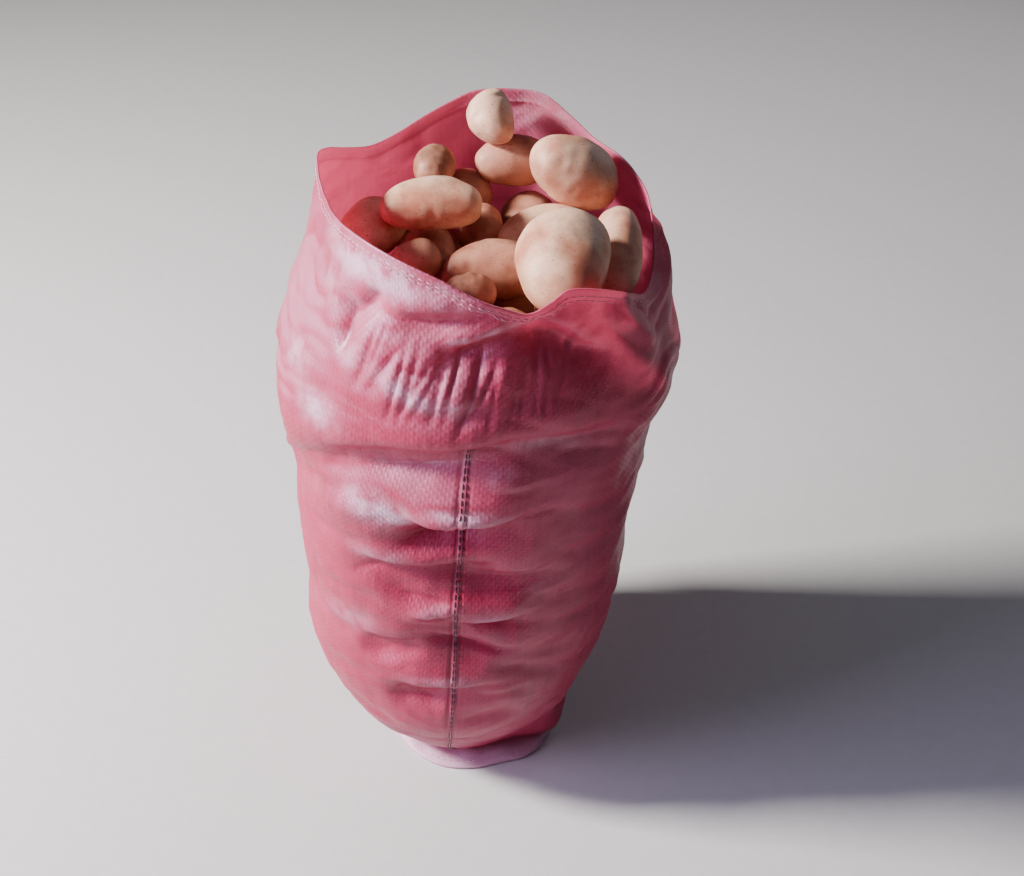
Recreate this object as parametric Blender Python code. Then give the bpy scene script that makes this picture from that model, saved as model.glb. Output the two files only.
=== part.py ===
"""Potato sack: a woven sack that stands open at the top, full of potatoes.

Run with blender --background --python part.py. The scene is in metres with +Z up, the floor at z = 0 and the
front of the sack towards -Y. The tables are in millimetres and degrees. A direction is measured round the
sack as seen from above: 0 is the front, +90 the right side and 180 the back.
"""

import math
import random
from typing import NamedTuple

import bmesh
import bpy
from mathutils import Euler, Matrix, Vector
from mathutils.bvhtree import BVHTree

MM = 0.001

# The cloth
CLOTH_THICKNESS = 2.0
HEM_THICKNESS = 3.4
HEM_HEIGHT = 13.0
HEM_STEP = 1.5
WALL_COLUMNS = 54
FRONT_CROWDING = 0.28
SHOULDER_HEIGHT = 480.0
SHOULDER_ROWS = (0, 5, 9, 18, 30, 44, 59, 74, 89, 105, 122, 139, 155, 170, 184, 198, 213, 228, 242, 255, 268,
                 281, 295, 309, 323, 337, 351, 365, 379, 392, 404, 417, 431, 445, 458, 470)
TOP_ROWS = 10
HEM_ROWS = 2
LEAN_AT_RIM = 0.35
SLOPE_STEP = 5.0
REPEATED_RIM_POINTS = 3
BASE_RINGS = (0.7, 0.35)
TURN_RADIUS = 160.0

# The folded and sewn bottom seam lies flat on the floor and pokes out at the front
SEAM_HEIGHT = 5.0
TUCK_HEIGHT = 9.0
TUCK_DEPTH = 4.0

# The relief of the wall fades out just under the mouth's edge
RELIEF_FADE = 0.22

# The potatoes
HEAP_EDGE_HEIGHT = 508.0
HEAP_CROWN = 30.0
HEAP_RADIUS = 150.0
HEAP_RIPPLE = 5.0
HEAP_RIPPLE_PITCH = 56.0
HEAP_INSET = 5.0
HEAP_LOOK_TURN = 6.0
HEAP_LOOK_HEIGHT = 14.0
HEAP_COLUMNS = 36
HEAP_ROWS = (22, 40, 65, 95, 135, 175, 215, 255, 295, 335, 375, 410, 445, 480, 498)
HEAP_RINGS = 10
HEAP_FOOT_SCALE = 0.7
HEAP_LOOK_LOWEST = 10.0
POTATO_COLUMNS = 12
POTATO_ROWS = 8
POTATO_FULLNESS = 0.85
SEAT_GAP = 0.5
DROP_START = 60.0
DROP_STEP = 3.0
SEAT_HALVINGS = 14


class Section(NamedTuple):
    """A level cut through the filled sack."""

    height: float
    centre_x: float
    centre_y: float
    half_width: float
    half_depth: float
    squareness: float


class RimPoint(NamedTuple):
    """A place on the edge of the mouth."""

    x: float
    y: float
    height: float


class FloorPoint(NamedTuple):
    """How far the bottom seam reaches over the floor in a direction."""

    direction: float
    reach: float


class Fold(NamedTuple):
    """A fold in the wall: dent is its depth inwards, step a ledge that stands out above and falls in below."""

    direction: float
    height: float
    tilt: float
    half_length: float
    half_width: float
    dent: float
    step: float


class Lump(NamedTuple):
    """A round swelling where a potato presses on the cloth, or a hollow where its rise is negative."""

    direction: float
    height: float
    half_width: float
    half_height: float
    rise: float


class Potato(NamedTuple):
    """A potato that shows: its place, how it lies and its size."""

    name: str
    x: float
    y: float
    height: float
    yaw: float
    tilt: float
    length: float
    width: float
    thickness: float
    taper: float
    bend: float


SECTIONS = (
    Section(0, 8, 8, 84, 82, 1.75),
    Section(9, 7, 8, 97, 93, 1.7),
    Section(26, -1, 7, 118, 106, 1.65),
    Section(52, -6, 5, 134, 121, 1.7),
    Section(90, -4, 2, 146, 142, 1.85),
    Section(135, -2, 0, 153, 154, 1.95),
    Section(190, 2, 0, 158, 159, 2.05),
    Section(250, 4, 0, 159, 160, 2.05),
    Section(310, 5, 0, 160, 160, 2.05),
    Section(370, 8, 0, 164, 158, 2.05),
    Section(415, 10, 0, 168, 156, 2.05),
    Section(450, 13, 0, 173, 157, 2.05),
    Section(480, 16, 0, 177, 159, 2.0),
    Section(505, 18, 0, 176, 159, 2.0),
)

RIM = (
    RimPoint(-119, 40, 642),
    RimPoint(-115, 8, 640),
    RimPoint(-108, -20, 636),
    RimPoint(-92, -66, 639),
    RimPoint(-67, -106, 643),
    RimPoint(-41, -128, 640),
    RimPoint(-12, -140, 632),
    RimPoint(17, -146, 619),
    RimPoint(39, -145, 610),
    RimPoint(54, -142, 605),
    RimPoint(69, -134, 610),
    RimPoint(82, -127, 617),
    RimPoint(108, -110, 608),
    RimPoint(134, -82, 588),
    RimPoint(152, -45, 565),
    RimPoint(163, -5, 560),
    RimPoint(166, 25, 575),
    RimPoint(162, 50, 601),
    RimPoint(152, 78, 611),
    RimPoint(140, 98, 617),
    RimPoint(118, 128, 620),
    RimPoint(98, 146, 632),
    RimPoint(74, 159, 646),
    RimPoint(51, 166, 648),
    RimPoint(10, 168, 645),
    RimPoint(-13, 163, 636),
    RimPoint(-40, 152, 624),
    RimPoint(-60, 140, 615),
    RimPoint(-82, 120, 612),
    RimPoint(-102, 92, 623),
    RimPoint(-114, 66, 635),
)

# The middle of the mouth, from which the edge's directions are measured
MOUTH_X = 12.0
MOUTH_Y = 5.0

FLOOR_OUTLINE = (
    FloorPoint(-180, 80),
    FloorPoint(-140, 82),
    FloorPoint(-100, 84),
    FloorPoint(-75, 82),
    FloorPoint(-58, 87),
    FloorPoint(-38, 94),
    FloorPoint(-22, 101),
    FloorPoint(-10, 105),
    FloorPoint(8, 107),
    FloorPoint(25, 109),
    FloorPoint(38, 116),
    FloorPoint(54, 117),
    FloorPoint(68, 113),
    FloorPoint(82, 103),
    FloorPoint(100, 95),
    FloorPoint(140, 88),
    FloorPoint(180, 80),
)

FOLDS = (
    # The waist under the belly, from the left side to the right
    Fold(-66, 396, 18, 44, 17, 7, 4),
    Fold(-36, 434, 16, 46, 18, 6, 5),
    Fold(-6, 458, 10, 48, 17, 6, 5),
    Fold(27, 470, -4, 46, 20, 7, 3),
    Fold(62, 430, -24, 60, 22, 6, 2),
    # The ledges down the front
    Fold(-3, 402, -3, 50, 15, 0, 9),
    Fold(7, 376, 9, 42, 17, 8, 0),
    Fold(-14, 326, -3, 62, 13, 7, 4),
    Fold(18, 336, 6, 36, 15, 3, 3),
    Fold(-20, 302, 4, 32, 13, 6, 1),
    Fold(2, 284, 5, 50, 13, 2, 6),
    Fold(-4, 250, -5, 42, 14, 7, 3),
    Fold(-30, 231, 5, 24, 14, 6, 0),
    Fold(26, 232, -8, 40, 16, 3, 3),
    Fold(-9, 188, 2, 46, 13, 6, 4),
    Fold(12, 154, 8, 34, 15, 3, 2),
    Fold(-2, 100, 4, 60, 20, 4, 3),
    # The pull towards the notch in the mouth's front edge
    Fold(16, 588, -72, 28, 13, 10, 0),
    Fold(1, 597, 5, 42, 11, 6, 4),
    Fold(6, 574, 19, 44, 12, 7, 3),
    Fold(30, 572, -10, 38, 14, 6, 3),
    Fold(54, 560, -42, 36, 13, -7, 0),
    # The hollow round the left shoulder's potato
    Fold(-23, 604, 4, 28, 12, 5, 0),
    Fold(-39, 584, 68, 28, 12, 5, 0),
    # The steep creases over the belly
    Fold(-27, 548, 62, 30, 12, 3, 0),
    Fold(-12, 546, 66, 30, 12, 3, 0),
    Fold(8, 534, 74, 34, 12, 4, 0),
    Fold(24, 540, 78, 26, 12, 3, 0),
    # The right side
    Fold(84, 330, 30, 60, 22, 5, 2),
    Fold(72, 210, 24, 60, 20, 4, 3),
    Fold(72, 88, 8, 44, 26, 15, 0),
    # The left side
    Fold(-82, 250, -14, 60, 22, 4, 2),
    Fold(-70, 130, -20, 50, 20, 4, 2),
)

LUMPS = (
    Lump(-28, 562, 34, 28, 6),
    Lump(-20, 520, 60, 34, 5),
    Lump(10, 448, 26, 24, 5),
    Lump(-62, 470, 46, 44, 5),
    Lump(-40, 395, 46, 30, 5),
    Lump(40, 430, 44, 36, 3),
    Lump(97, 556, 64, 30, 15),
    Lump(48, 300, 50, 50, 4),
    Lump(-50, 300, 46, 44, 3),
    Lump(-44, 190, 44, 40, 3),
    Lump(30, 150, 46, 34, 3),
    Lump(56, 14, 52, 34, 26),
    Lump(-60, 78, 50, 36, -14),
    Lump(100, 450, 44, 44, 4),
)

# The side that faces away: folds and lumps spread evenly, with chance differences
BACK_SEED = 11
BACK_FOLDS = 16
BACK_LUMPS = 12
BACK_FIRST_DIRECTION = 115.0
BACK_DIRECTIONS = 130.0
BACK_LOWEST = 90.0
BACK_HEIGHTS = 420.0
BACK_SPREAD = 0.382
BACK_HEIGHT_CHANGE = 10.0
BACK_TILT = 16.0
BACK_FOLD_LENGTHS = (36.0, 66.0)
BACK_FOLD_WIDTHS = (16.0, 21.0)
BACK_DENTS = (2.5, 5.5)
BACK_STEPS = (1.0, 4.0)
BACK_LUMP_WIDTHS = (34.0, 48.0)
BACK_LUMP_HEIGHTS = (28.0, 42.0)
BACK_RISES = (2.5, 5.0)

POTATOES = (
    Potato("potato_front_low", 34, -94, 540, 6, 0, 66, 50, 44, 0.10, 3),
    Potato("potato_front_left_low", -28, -84, 540, -14, 0, 62, 48, 44, 0.08, 2),
    Potato("potato_left_low", -78, -28, 545, 76, 0, 70, 52, 46, 0.05, 4),
    Potato("potato_front_gap", 8, -58, 540, 10, 0, 44, 34, 34, 0.05, 0),
    Potato("potato_back_left_low", -50, 106, 545, 30, 0, 62, 48, 44, 0.05, 2),
    Potato("potato_back_low", 0, 124, 545, 8, 0, 54, 46, 46, 0.05, 2),
    Potato("potato_right_back_low", 64, 108, 548, 96, 0, 66, 54, 46, 0.05, 2),
    Potato("potato_under_egg", 84, -50, 550, 90, 0, 54, 44, 36, 0.05, 0),
    Potato("potato_under_oval", -28, 38, 552, 100, 0, 58, 50, 32, 0.05, 2),
    Potato("potato_right_flat", 77, 46, 560, 8, 0, 94, 58, 57, 0.05, 4),
    Potato("potato_right_shaded", 134, 6, 568, 87, 18, 92, 46, 50, 0.06, 2),
    Potato("potato_front_lying", 26, -12, 566, 6, -3, 86, 52, 50, 0.16, 5),
    Potato("potato_middle_shaded", 18, 70, 562, 84, 18, 56, 40, 40, 0.08, 2),
    Potato("potato_left_red", -78, 48, 560, 64, 4, 66, 54, 48, 0.08, 0),
    Potato("potato_front_small", -38, -16, 566, 25, 6, 46, 38, 34, 0.12, 0),
    Potato("potato_back_dark", 46, 128, 592, 6, 0, 70, 46, 46, 0.05, 2),
    Potato("potato_left_oval", -26, 36, 594, 3, 2, 88, 50, 44, 0.04, 4),
    Potato("potato_back_small", -26, 112, 592, 80, 10, 46, 38, 36, 0.10, 0),
    Potato("potato_right_back", 97, 78, 608, 8, -32, 84, 62, 58, 0.10, 3),
    Potato("potato_front_egg", 84, -55, 597, 82, 18, 98, 75, 64, 0.14, 2),
    Potato("potato_back_top", 27, 131, 638, 106, 26, 52, 42, 40, 0.12, 3),
)

CLOTH_ROUGHNESS = 0.42
POTATO_ROUGHNESS = 0.55
HEAP_ROUGHNESS = 0.8
SACK_COLOUR = (0.63, 0.13, 0.20, 1.0)
POTATO_COLOUR = (0.66, 0.47, 0.32, 1.0)
HEAP_COLOUR = (0.36, 0.22, 0.15, 1.0)


def cubic_table(rows, key):
    """Reads a table of rows at key, along a smooth curve through its rows; the first column is the key."""
    keys = [row[0] for row in rows]
    key = min(max(key, keys[0]), keys[-1])
    index = min(max(i for i in range(len(rows)) if keys[i] <= key), len(rows) - 2)
    span = keys[index + 1] - keys[index]
    t = (key - keys[index]) / span
    values = []
    for column in range(1, len(rows[0])):
        here = rows[index][column]
        there = rows[index + 1][column]
        slopes = []
        for i in (index, index + 1):
            before = max(i - 1, 0)
            after = min(i + 1, len(rows) - 1)
            slopes.append((rows[after][column] - rows[before][column]) / (keys[after] - keys[before]) * span)
        values.append(
            (2 * t ** 3 - 3 * t ** 2 + 1) * here
            + (t ** 3 - 2 * t ** 2 + t) * slopes[0]
            + (3 * t ** 2 - 2 * t ** 3) * there
            + (t ** 3 - t ** 2) * slopes[1]
        )
    return values


def turn_between(a, b):
    """The signed turn in degrees from direction b to direction a."""
    return (a - b + 180.0) % 360.0 - 180.0


def outward(direction):
    """The level unit vector that points out of the sack at a direction."""
    angle = math.radians(direction)
    return Vector((math.sin(angle), -math.cos(angle), 0.0))


def section_place(direction, height):
    """The place of the smooth wall at a direction and a height up to the shoulder."""
    centre_x, centre_y, half_width, half_depth, squareness = cubic_table(SECTIONS, height)
    angle = math.radians(direction)
    across = math.sin(angle)
    along = -math.cos(angle)
    pull = (abs(across) ** squareness + abs(along) ** squareness) ** (-1.0 / squareness)
    return Vector((centre_x + half_width * across * pull, centre_y + half_depth * along * pull, height))


def rim_table():
    """The mouth's edge as rows of direction, x, y and height, with a few rows repeated past both ends."""
    rows = []
    for point in RIM:
        direction = math.degrees(math.atan2(point.x - MOUTH_X, -(point.y - MOUTH_Y)))
        rows.append((direction, point.x, point.y, point.height))
    rows.sort()
    before = [(row[0] - 360.0,) + row[1:] for row in rows[-REPEATED_RIM_POINTS:]]
    after = [(row[0] + 360.0,) + row[1:] for row in rows[:REPEATED_RIM_POINTS]]
    return before + rows + after


RIM_ROWS = rim_table()


def smooth_wall(direction, level):
    """The wall without its folds: level runs from 0 at the floor to 1 at the shoulder and 2 at the mouth."""
    if level <= 1.0:
        return section_place(direction, level * SHOULDER_HEIGHT)
    t = level - 1.0
    low = section_place(direction, SHOULDER_HEIGHT)
    below = section_place(direction, SHOULDER_HEIGHT - SLOPE_STEP)
    rim = Vector(cubic_table(RIM_ROWS, turn_between(direction, 0.0)))
    span = rim.z - SHOULDER_HEIGHT
    start = (low - below) / SLOPE_STEP * span
    end = (rim - low) * LEAN_AT_RIM
    place = (
        (2 * t ** 3 - 3 * t ** 2 + 1) * low
        + (t ** 3 - 2 * t ** 2 + t) * start
        + (3 * t ** 2 - 2 * t ** 3) * rim
        + (t ** 3 - t ** 2) * end
    )
    place.z = SHOULDER_HEIGHT + span * t
    return place


def fold_rise(fold, direction, height):
    """How far a fold moves the wall outwards at a direction and a height."""
    along = math.radians(turn_between(direction, fold.direction)) * TURN_RADIUS
    up = height - fold.height
    tilt = math.radians(fold.tilt)
    run = (along * math.cos(tilt) + up * math.sin(tilt)) / fold.half_length
    across = (up * math.cos(tilt) - along * math.sin(tilt)) / fold.half_width
    reach = math.exp(-(run ** 4))
    dent = -fold.dent * math.exp(-(across ** 2))
    step = fold.step * across * math.exp(0.5 - 0.5 * across ** 2)
    return (dent + step) * reach


def lump_rise(lump, direction, height):
    """How far a lump moves the wall outwards at a direction and a height."""
    along = math.radians(turn_between(direction, lump.direction)) * TURN_RADIUS / lump.half_width
    up = (height - lump.height) / lump.half_height
    return lump.rise * math.exp(-(along ** 2 + up ** 2))


def back_relief():
    """The folds and lumps of the side that faces away."""
    chance = random.Random(BACK_SEED)
    folds = []
    for index in range(BACK_FOLDS):
        height = BACK_LOWEST + BACK_HEIGHTS * index / BACK_FOLDS
        folds.append(Fold(
            direction=BACK_FIRST_DIRECTION + BACK_DIRECTIONS * ((index * BACK_SPREAD) % 1.0),
            height=height + chance.uniform(-BACK_HEIGHT_CHANGE, BACK_HEIGHT_CHANGE),
            tilt=chance.uniform(-BACK_TILT, BACK_TILT),
            half_length=chance.uniform(*BACK_FOLD_LENGTHS),
            half_width=chance.uniform(*BACK_FOLD_WIDTHS),
            dent=chance.uniform(*BACK_DENTS),
            step=chance.uniform(*BACK_STEPS),
        ))
    lumps = []
    for index in range(BACK_LUMPS):
        lumps.append(Lump(
            direction=BACK_FIRST_DIRECTION + BACK_DIRECTIONS * ((1.0 - index * BACK_SPREAD) % 1.0),
            height=BACK_LOWEST + BACK_HEIGHTS * (index + 0.5) / BACK_LUMPS,
            half_width=chance.uniform(*BACK_LUMP_WIDTHS),
            half_height=chance.uniform(*BACK_LUMP_HEIGHTS),
            rise=chance.uniform(*BACK_RISES),
        ))
    return folds, lumps


BACK_FOLD_ROWS, BACK_LUMP_ROWS = back_relief()
ALL_FOLDS = FOLDS + tuple(BACK_FOLD_ROWS)
ALL_LUMPS = LUMPS + tuple(BACK_LUMP_ROWS)


def wall(direction, level):
    """The outer face of the cloth at a direction and a level, in millimetres."""
    place = smooth_wall(direction, level)
    if place.z <= SEAM_HEIGHT:
        reach = cubic_table(FLOOR_OUTLINE, turn_between(direction, 0.0))[0]
        edge = outward(direction) * reach
        edge.z = place.z
        return edge
    rise = sum(fold_rise(fold, direction, place.z) for fold in ALL_FOLDS)
    rise += sum(lump_rise(lump, direction, place.z) for lump in ALL_LUMPS)
    if place.z <= TUCK_HEIGHT:
        rise -= TUCK_DEPTH
    fade = min((2.0 - level) / RELIEF_FADE, 1.0)
    return place + outward(direction) * rise * fade * fade * (3.0 - 2.0 * fade)


def row_levels(direction):
    """The levels of the wall's rows at a direction, with two close rows that make the hem's lower edge."""
    span = cubic_table(RIM_ROWS, turn_between(direction, 0.0))[2] - SHOULDER_HEIGHT
    hem = 1.0 - HEM_HEIGHT / span
    levels = [height / SHOULDER_HEIGHT for height in SHOULDER_ROWS]
    levels += [1.0 + hem * row / TOP_ROWS for row in range(TOP_ROWS + 1)]
    levels += [1.0 + hem + HEM_STEP / span, 2.0]
    return levels


def column_directions(count, crowding):
    """Directions round the sack, closer together at the front where most of the folds are."""
    directions = []
    for column in range(count):
        turn = 2.0 * math.pi * column / count
        directions.append(math.degrees(turn - crowding * math.sin(turn)))
    return directions


def clear_scene():
    """Removes whatever the file opened with."""
    for item in list(bpy.data.objects):
        bpy.data.objects.remove(item, do_unlink=True)


def make_material(name, colour, roughness):
    """A plain material for one sub-part."""
    material = bpy.data.materials.new(name)
    material.use_nodes = True
    shader = material.node_tree.nodes["Principled BSDF"]
    shader.inputs["Base Color"].default_value = colour
    shader.inputs["Roughness"].default_value = roughness
    shader.inputs["Metallic"].default_value = 0.0
    material.diffuse_color = colour
    return material


def make_object(name, shape, material):
    """Puts a bmesh into the scene as a smooth object of that name and material."""
    mesh = bpy.data.meshes.new(name)
    shape.to_mesh(mesh)
    shape.free()
    mesh.shade_smooth()
    mesh.materials.append(material)
    item = bpy.data.objects.new(name, mesh)
    bpy.context.scene.collection.objects.link(item)
    return item


def bridge_rings(shape, lower, upper):
    """Joins two rings of the same number of points with a band of quads that faces away from the axis."""
    count = len(lower)
    for column in range(count):
        after = (column + 1) % count
        shape.faces.new((lower[column], lower[after], upper[after], upper[column]))


def close_with_fan(shape, ring, centre, faces_up):
    """Closes a ring with triangles to one point at its middle."""
    middle = shape.verts.new(centre)
    count = len(ring)
    for column in range(count):
        after = (column + 1) % count
        corners = (ring[column], ring[after], middle)
        shape.faces.new(corners if faces_up else tuple(reversed(corners)))


def build_sack():
    """The sack's cloth: an outer face with its folds, closed below and open above, thickened inwards."""
    shape = bmesh.new()
    directions = column_directions(WALL_COLUMNS, FRONT_CROWDING)
    columns = [[wall(direction, level) * MM for level in row_levels(direction)] for direction in directions]
    rings = []
    for row in zip(*columns):
        rings.append([shape.verts.new(place) for place in row])
    for lower, upper in zip(rings, rings[1:]):
        bridge_rings(shape, lower, upper)
    floor_middle = Vector((0.0, 0.0, 0.0))
    outer = rings[0]
    for scale in BASE_RINGS:
        inner = []
        for direction in directions:
            inner.append(shape.verts.new(floor_middle.lerp(wall(direction, 0.0) * MM, scale)))
        bridge_rings(shape, inner, outer)
        outer = inner
    close_with_fan(shape, outer, floor_middle, faces_up=False)
    bmesh.ops.triangulate(shape, faces=shape.faces[:], quad_method="FIXED")
    bmesh.ops.recalc_face_normals(shape, faces=shape.faces[:])
    sack = make_object("sack", shape, make_material("woven_cloth", SACK_COLOUR, CLOTH_ROUGHNESS))

    weights = sack.vertex_groups.new(name="thickness")
    hem_start = (len(rings) - HEM_ROWS) * WALL_COLUMNS
    hem_end = len(rings) * WALL_COLUMNS
    body = [index for index in range(len(sack.data.vertices)) if not hem_start <= index < hem_end]
    weights.add(body, CLOTH_THICKNESS / HEM_THICKNESS, "REPLACE")
    weights.add(list(range(hem_start, hem_end)), 1.0, "REPLACE")
    thicken = sack.modifiers.new("thickness", "SOLIDIFY")
    thicken.thickness = HEM_THICKNESS * MM
    thicken.offset = -1.0
    thicken.vertex_group = weights.name
    thicken.use_even_offset = False
    thicken.use_rim = True
    return sack


def heap_height(x, y):
    """The height of the packed potatoes at a place: a low dome with even swellings."""
    apart = math.hypot(x - MOUTH_X, y - MOUTH_Y) / HEAP_RADIUS
    turn = 2.0 * math.pi / HEAP_RIPPLE_PITCH
    ripple = HEAP_RIPPLE * math.cos(turn * x) * math.cos(turn * y)
    return HEAP_EDGE_HEIGHT + HEAP_CROWN * max(0.0, 1.0 - apart ** 2) + ripple


def innermost_wall(direction, height):
    """The place furthest in on the wall near a direction and a height, its folds counted."""
    nearest = None
    for turn in (-HEAP_LOOK_TURN, 0.0, HEAP_LOOK_TURN):
        for rise in (-HEAP_LOOK_HEIGHT, 0.0, HEAP_LOOK_HEIGHT):
            level = max(height + rise, HEAP_LOOK_LOWEST) / SHOULDER_HEIGHT
            place = wall(direction + turn, level)
            if nearest is None or place.xy.length < nearest.xy.length:
                nearest = place
    return outward(direction) * nearest.xy.length


def build_heap():
    """The packed potatoes that fill the sack, plain below and lumpy on top."""
    shape = bmesh.new()
    directions = column_directions(HEAP_COLUMNS, 0.0)
    foot_height = CLOTH_THICKNESS + SEAT_GAP
    foot = Vector((0.0, 0.0, foot_height))
    rings = []
    ring = []
    for direction in directions:
        place = wall(direction, 0.0) * HEAP_FOOT_SCALE
        place.z = foot_height
        ring.append(shape.verts.new(place * MM))
    rings.append(ring)
    for height in HEAP_ROWS:
        ring = []
        for direction in directions:
            place = innermost_wall(direction, height) - outward(direction) * (CLOTH_THICKNESS + HEAP_INSET)
            place.z = height
            ring.append(shape.verts.new(place * MM))
        rings.append(ring)
    for lower, upper in zip(rings, rings[1:]):
        bridge_rings(shape, lower, upper)
    close_with_fan(shape, rings[0], foot * MM, faces_up=False)

    middle = Vector((MOUTH_X, MOUTH_Y, 0.0))
    outer = rings[-1]
    edge = [vert.co / MM for vert in outer]
    for step in range(1, HEAP_RINGS):
        share = 1.0 - step / HEAP_RINGS
        inner = []
        for place in edge:
            spot = middle.lerp(place, share)
            spot.z = heap_height(spot.x, spot.y)
            inner.append(shape.verts.new(spot * MM))
        bridge_rings(shape, outer, inner)
        outer = inner
    middle.z = heap_height(middle.x, middle.y)
    close_with_fan(shape, outer, middle * MM, faces_up=True)
    bmesh.ops.triangulate(shape, faces=shape.faces[:], quad_method="FIXED")
    bmesh.ops.recalc_face_normals(shape, faces=shape.faces[:])
    return make_object("potatoes_below", shape, make_material("packed_potatoes", HEAP_COLOUR, HEAP_ROUGHNESS))


def potato_shape(potato):
    """A potato about its own middle, its long axis along X: one end blunter, and a little bent."""
    shape = bmesh.new()
    rings = []
    for row in range(1, POTATO_ROWS):
        turn = math.pi * row / POTATO_ROWS
        along = -math.cos(turn)
        reach = math.sin(turn) ** POTATO_FULLNESS * (1.0 + potato.taper * along)
        bow = potato.bend * (1.0 - 2.0 * along ** 2)
        ring = []
        for column in range(POTATO_COLUMNS):
            angle = 2.0 * math.pi * column / POTATO_COLUMNS
            ring.append(shape.verts.new(Vector((
                0.5 * potato.length * along,
                0.5 * potato.width * reach * math.cos(angle) + bow,
                0.5 * potato.thickness * reach * math.sin(angle),
            )) * MM))
        rings.append(ring)
    for lower, upper in zip(rings, rings[1:]):
        bridge_rings(shape, lower, upper)
    close_with_fan(shape, rings[0], Vector((-0.5 * potato.length, -potato.bend, 0.0)) * MM, faces_up=False)
    close_with_fan(shape, rings[-1], Vector((0.5 * potato.length, -potato.bend, 0.0)) * MM, faces_up=True)
    bmesh.ops.triangulate(shape, faces=shape.faces[:], quad_method="FIXED")
    bmesh.ops.recalc_face_normals(shape, faces=shape.faces[:])
    return shape


def surface_tree(item):
    """A search tree of an object's faces in the scene, as its modifiers leave them."""
    scene_shape = item.evaluated_get(bpy.context.evaluated_depsgraph_get()).to_mesh()
    points = [item.matrix_world @ vert.co for vert in scene_shape.vertices]
    corners = [tuple(face.vertices) for face in scene_shape.polygons]
    return BVHTree.FromPolygons(points, corners)


def seat(item, supports):
    """Lowers an object straight down until it lies just above what carries it."""
    points = [item.matrix_world @ vert.co for vert in item.data.vertices]
    corners = [tuple(face.vertices) for face in item.data.polygons]

    def touches(drop):
        tree = BVHTree.FromPolygons([point - Vector((0.0, 0.0, drop)) for point in points], corners)
        return any(tree.overlap(support) for support in supports)

    clear = -DROP_START * MM
    if touches(clear):
        raise ValueError(item.name + " starts inside another piece")
    hit = clear
    while not touches(hit):
        clear = hit
        hit += DROP_STEP * MM
        if hit > DROP_START * MM:
            raise ValueError(item.name + " has nothing below it")
    for _ in range(SEAT_HALVINGS):
        half = 0.5 * (clear + hit)
        if touches(half):
            hit = half
        else:
            clear = half
    item.location.z -= clear - SEAT_GAP * MM
    bpy.context.view_layer.update()


def build_potatoes(sack, heap):
    """The potatoes that show, from the lowest up, each seated on what is under it."""
    supports = [surface_tree(sack), surface_tree(heap)]
    material = make_material("potato_skin", POTATO_COLOUR, POTATO_ROUGHNESS)
    for potato in POTATOES:
        item = make_object(potato.name, potato_shape(potato), material)
        turn = Euler((0.0, -math.radians(potato.tilt), math.radians(potato.yaw)), "XYZ")
        place = Vector((potato.x, potato.y, potato.height)) * MM
        item.matrix_world = Matrix.Translation(place) @ turn.to_matrix().to_4x4()
        bpy.context.view_layer.update()
        seat(item, supports)
        supports.append(surface_tree(item))


def main():
    """Builds the sack, the packed potatoes and the potatoes that show."""
    clear_scene()
    sack = build_sack()
    heap = build_heap()
    bpy.context.view_layer.update()
    build_potatoes(sack, heap)


main()
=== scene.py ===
"""Dresses the potato sack: a woven red sack with its folds, hem and seams, and the potatoes at its open mouth.

The tables are in millimetres and degrees. A direction is measured round the sack as seen from above: 0 is the
front, towards -Y, +90 the right side and 180 the back. A level runs up the wall: 0 at the floor, 1 at the
shoulder and 2 at the mouth's edge.
"""
import logging
import math
import random
from dataclasses import dataclass, field
from enum import Enum
from typing import Any, Iterable, NamedTuple, Sequence

import bpy
import numpy as np
from mathutils import Euler, Matrix, Vector, noise


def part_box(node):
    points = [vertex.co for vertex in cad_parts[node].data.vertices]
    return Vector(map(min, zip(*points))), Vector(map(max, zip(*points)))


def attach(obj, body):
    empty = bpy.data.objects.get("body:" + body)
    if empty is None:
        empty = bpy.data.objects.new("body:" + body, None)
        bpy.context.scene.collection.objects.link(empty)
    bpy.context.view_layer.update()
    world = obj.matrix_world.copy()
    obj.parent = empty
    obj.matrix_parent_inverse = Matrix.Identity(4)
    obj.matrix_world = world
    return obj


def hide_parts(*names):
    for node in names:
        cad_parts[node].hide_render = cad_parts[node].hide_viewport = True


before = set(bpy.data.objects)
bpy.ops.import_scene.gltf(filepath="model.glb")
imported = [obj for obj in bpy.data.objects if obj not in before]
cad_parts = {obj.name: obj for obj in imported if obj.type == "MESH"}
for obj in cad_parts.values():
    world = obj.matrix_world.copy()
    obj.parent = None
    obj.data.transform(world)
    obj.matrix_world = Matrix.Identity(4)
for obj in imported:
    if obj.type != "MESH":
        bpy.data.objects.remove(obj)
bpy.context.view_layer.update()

LOG = logging.getLogger("potato_sack")
MM = 0.001
BODY = "root"
Socket = bpy.types.NodeSocket


class Look(Enum):
    """How much soil lies on a potato's skin; the soiled look's darker, redder colours are also painted shade."""

    CLEAN = "rubbed clean"
    # Soil, and darker, redder skin colours as painted shade for the potatoes that lie in shadow
    SOILED_AND_SHADED = "under a film of soil"


class Section(NamedTuple):
    """A level cut through the filled sack."""

    height: float
    centre_x: float
    centre_y: float
    half_width: float
    half_depth: float
    squareness: float


class RimPoint(NamedTuple):
    """A place on the edge of the mouth."""

    x: float
    y: float
    height: float


class FloorPoint(NamedTuple):
    """How far the bottom seam reaches over the floor in a direction."""

    direction: float
    reach: float


class SeamPoint(NamedTuple):
    """The direction of the lengthwise seam at a height."""

    height: float
    direction: float


class Fold(NamedTuple):
    """A fold in the wall: dent is its depth inwards, step a ledge that stands out above and falls in below."""

    direction: float
    height: float
    tilt: float
    half_length: float
    half_width: float
    dent: float
    step: float


class Lump(NamedTuple):
    """A round swelling where a potato presses on the cloth, or a hollow where its rise is negative."""

    direction: float
    height: float
    half_width: float
    half_height: float
    rise: float


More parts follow.
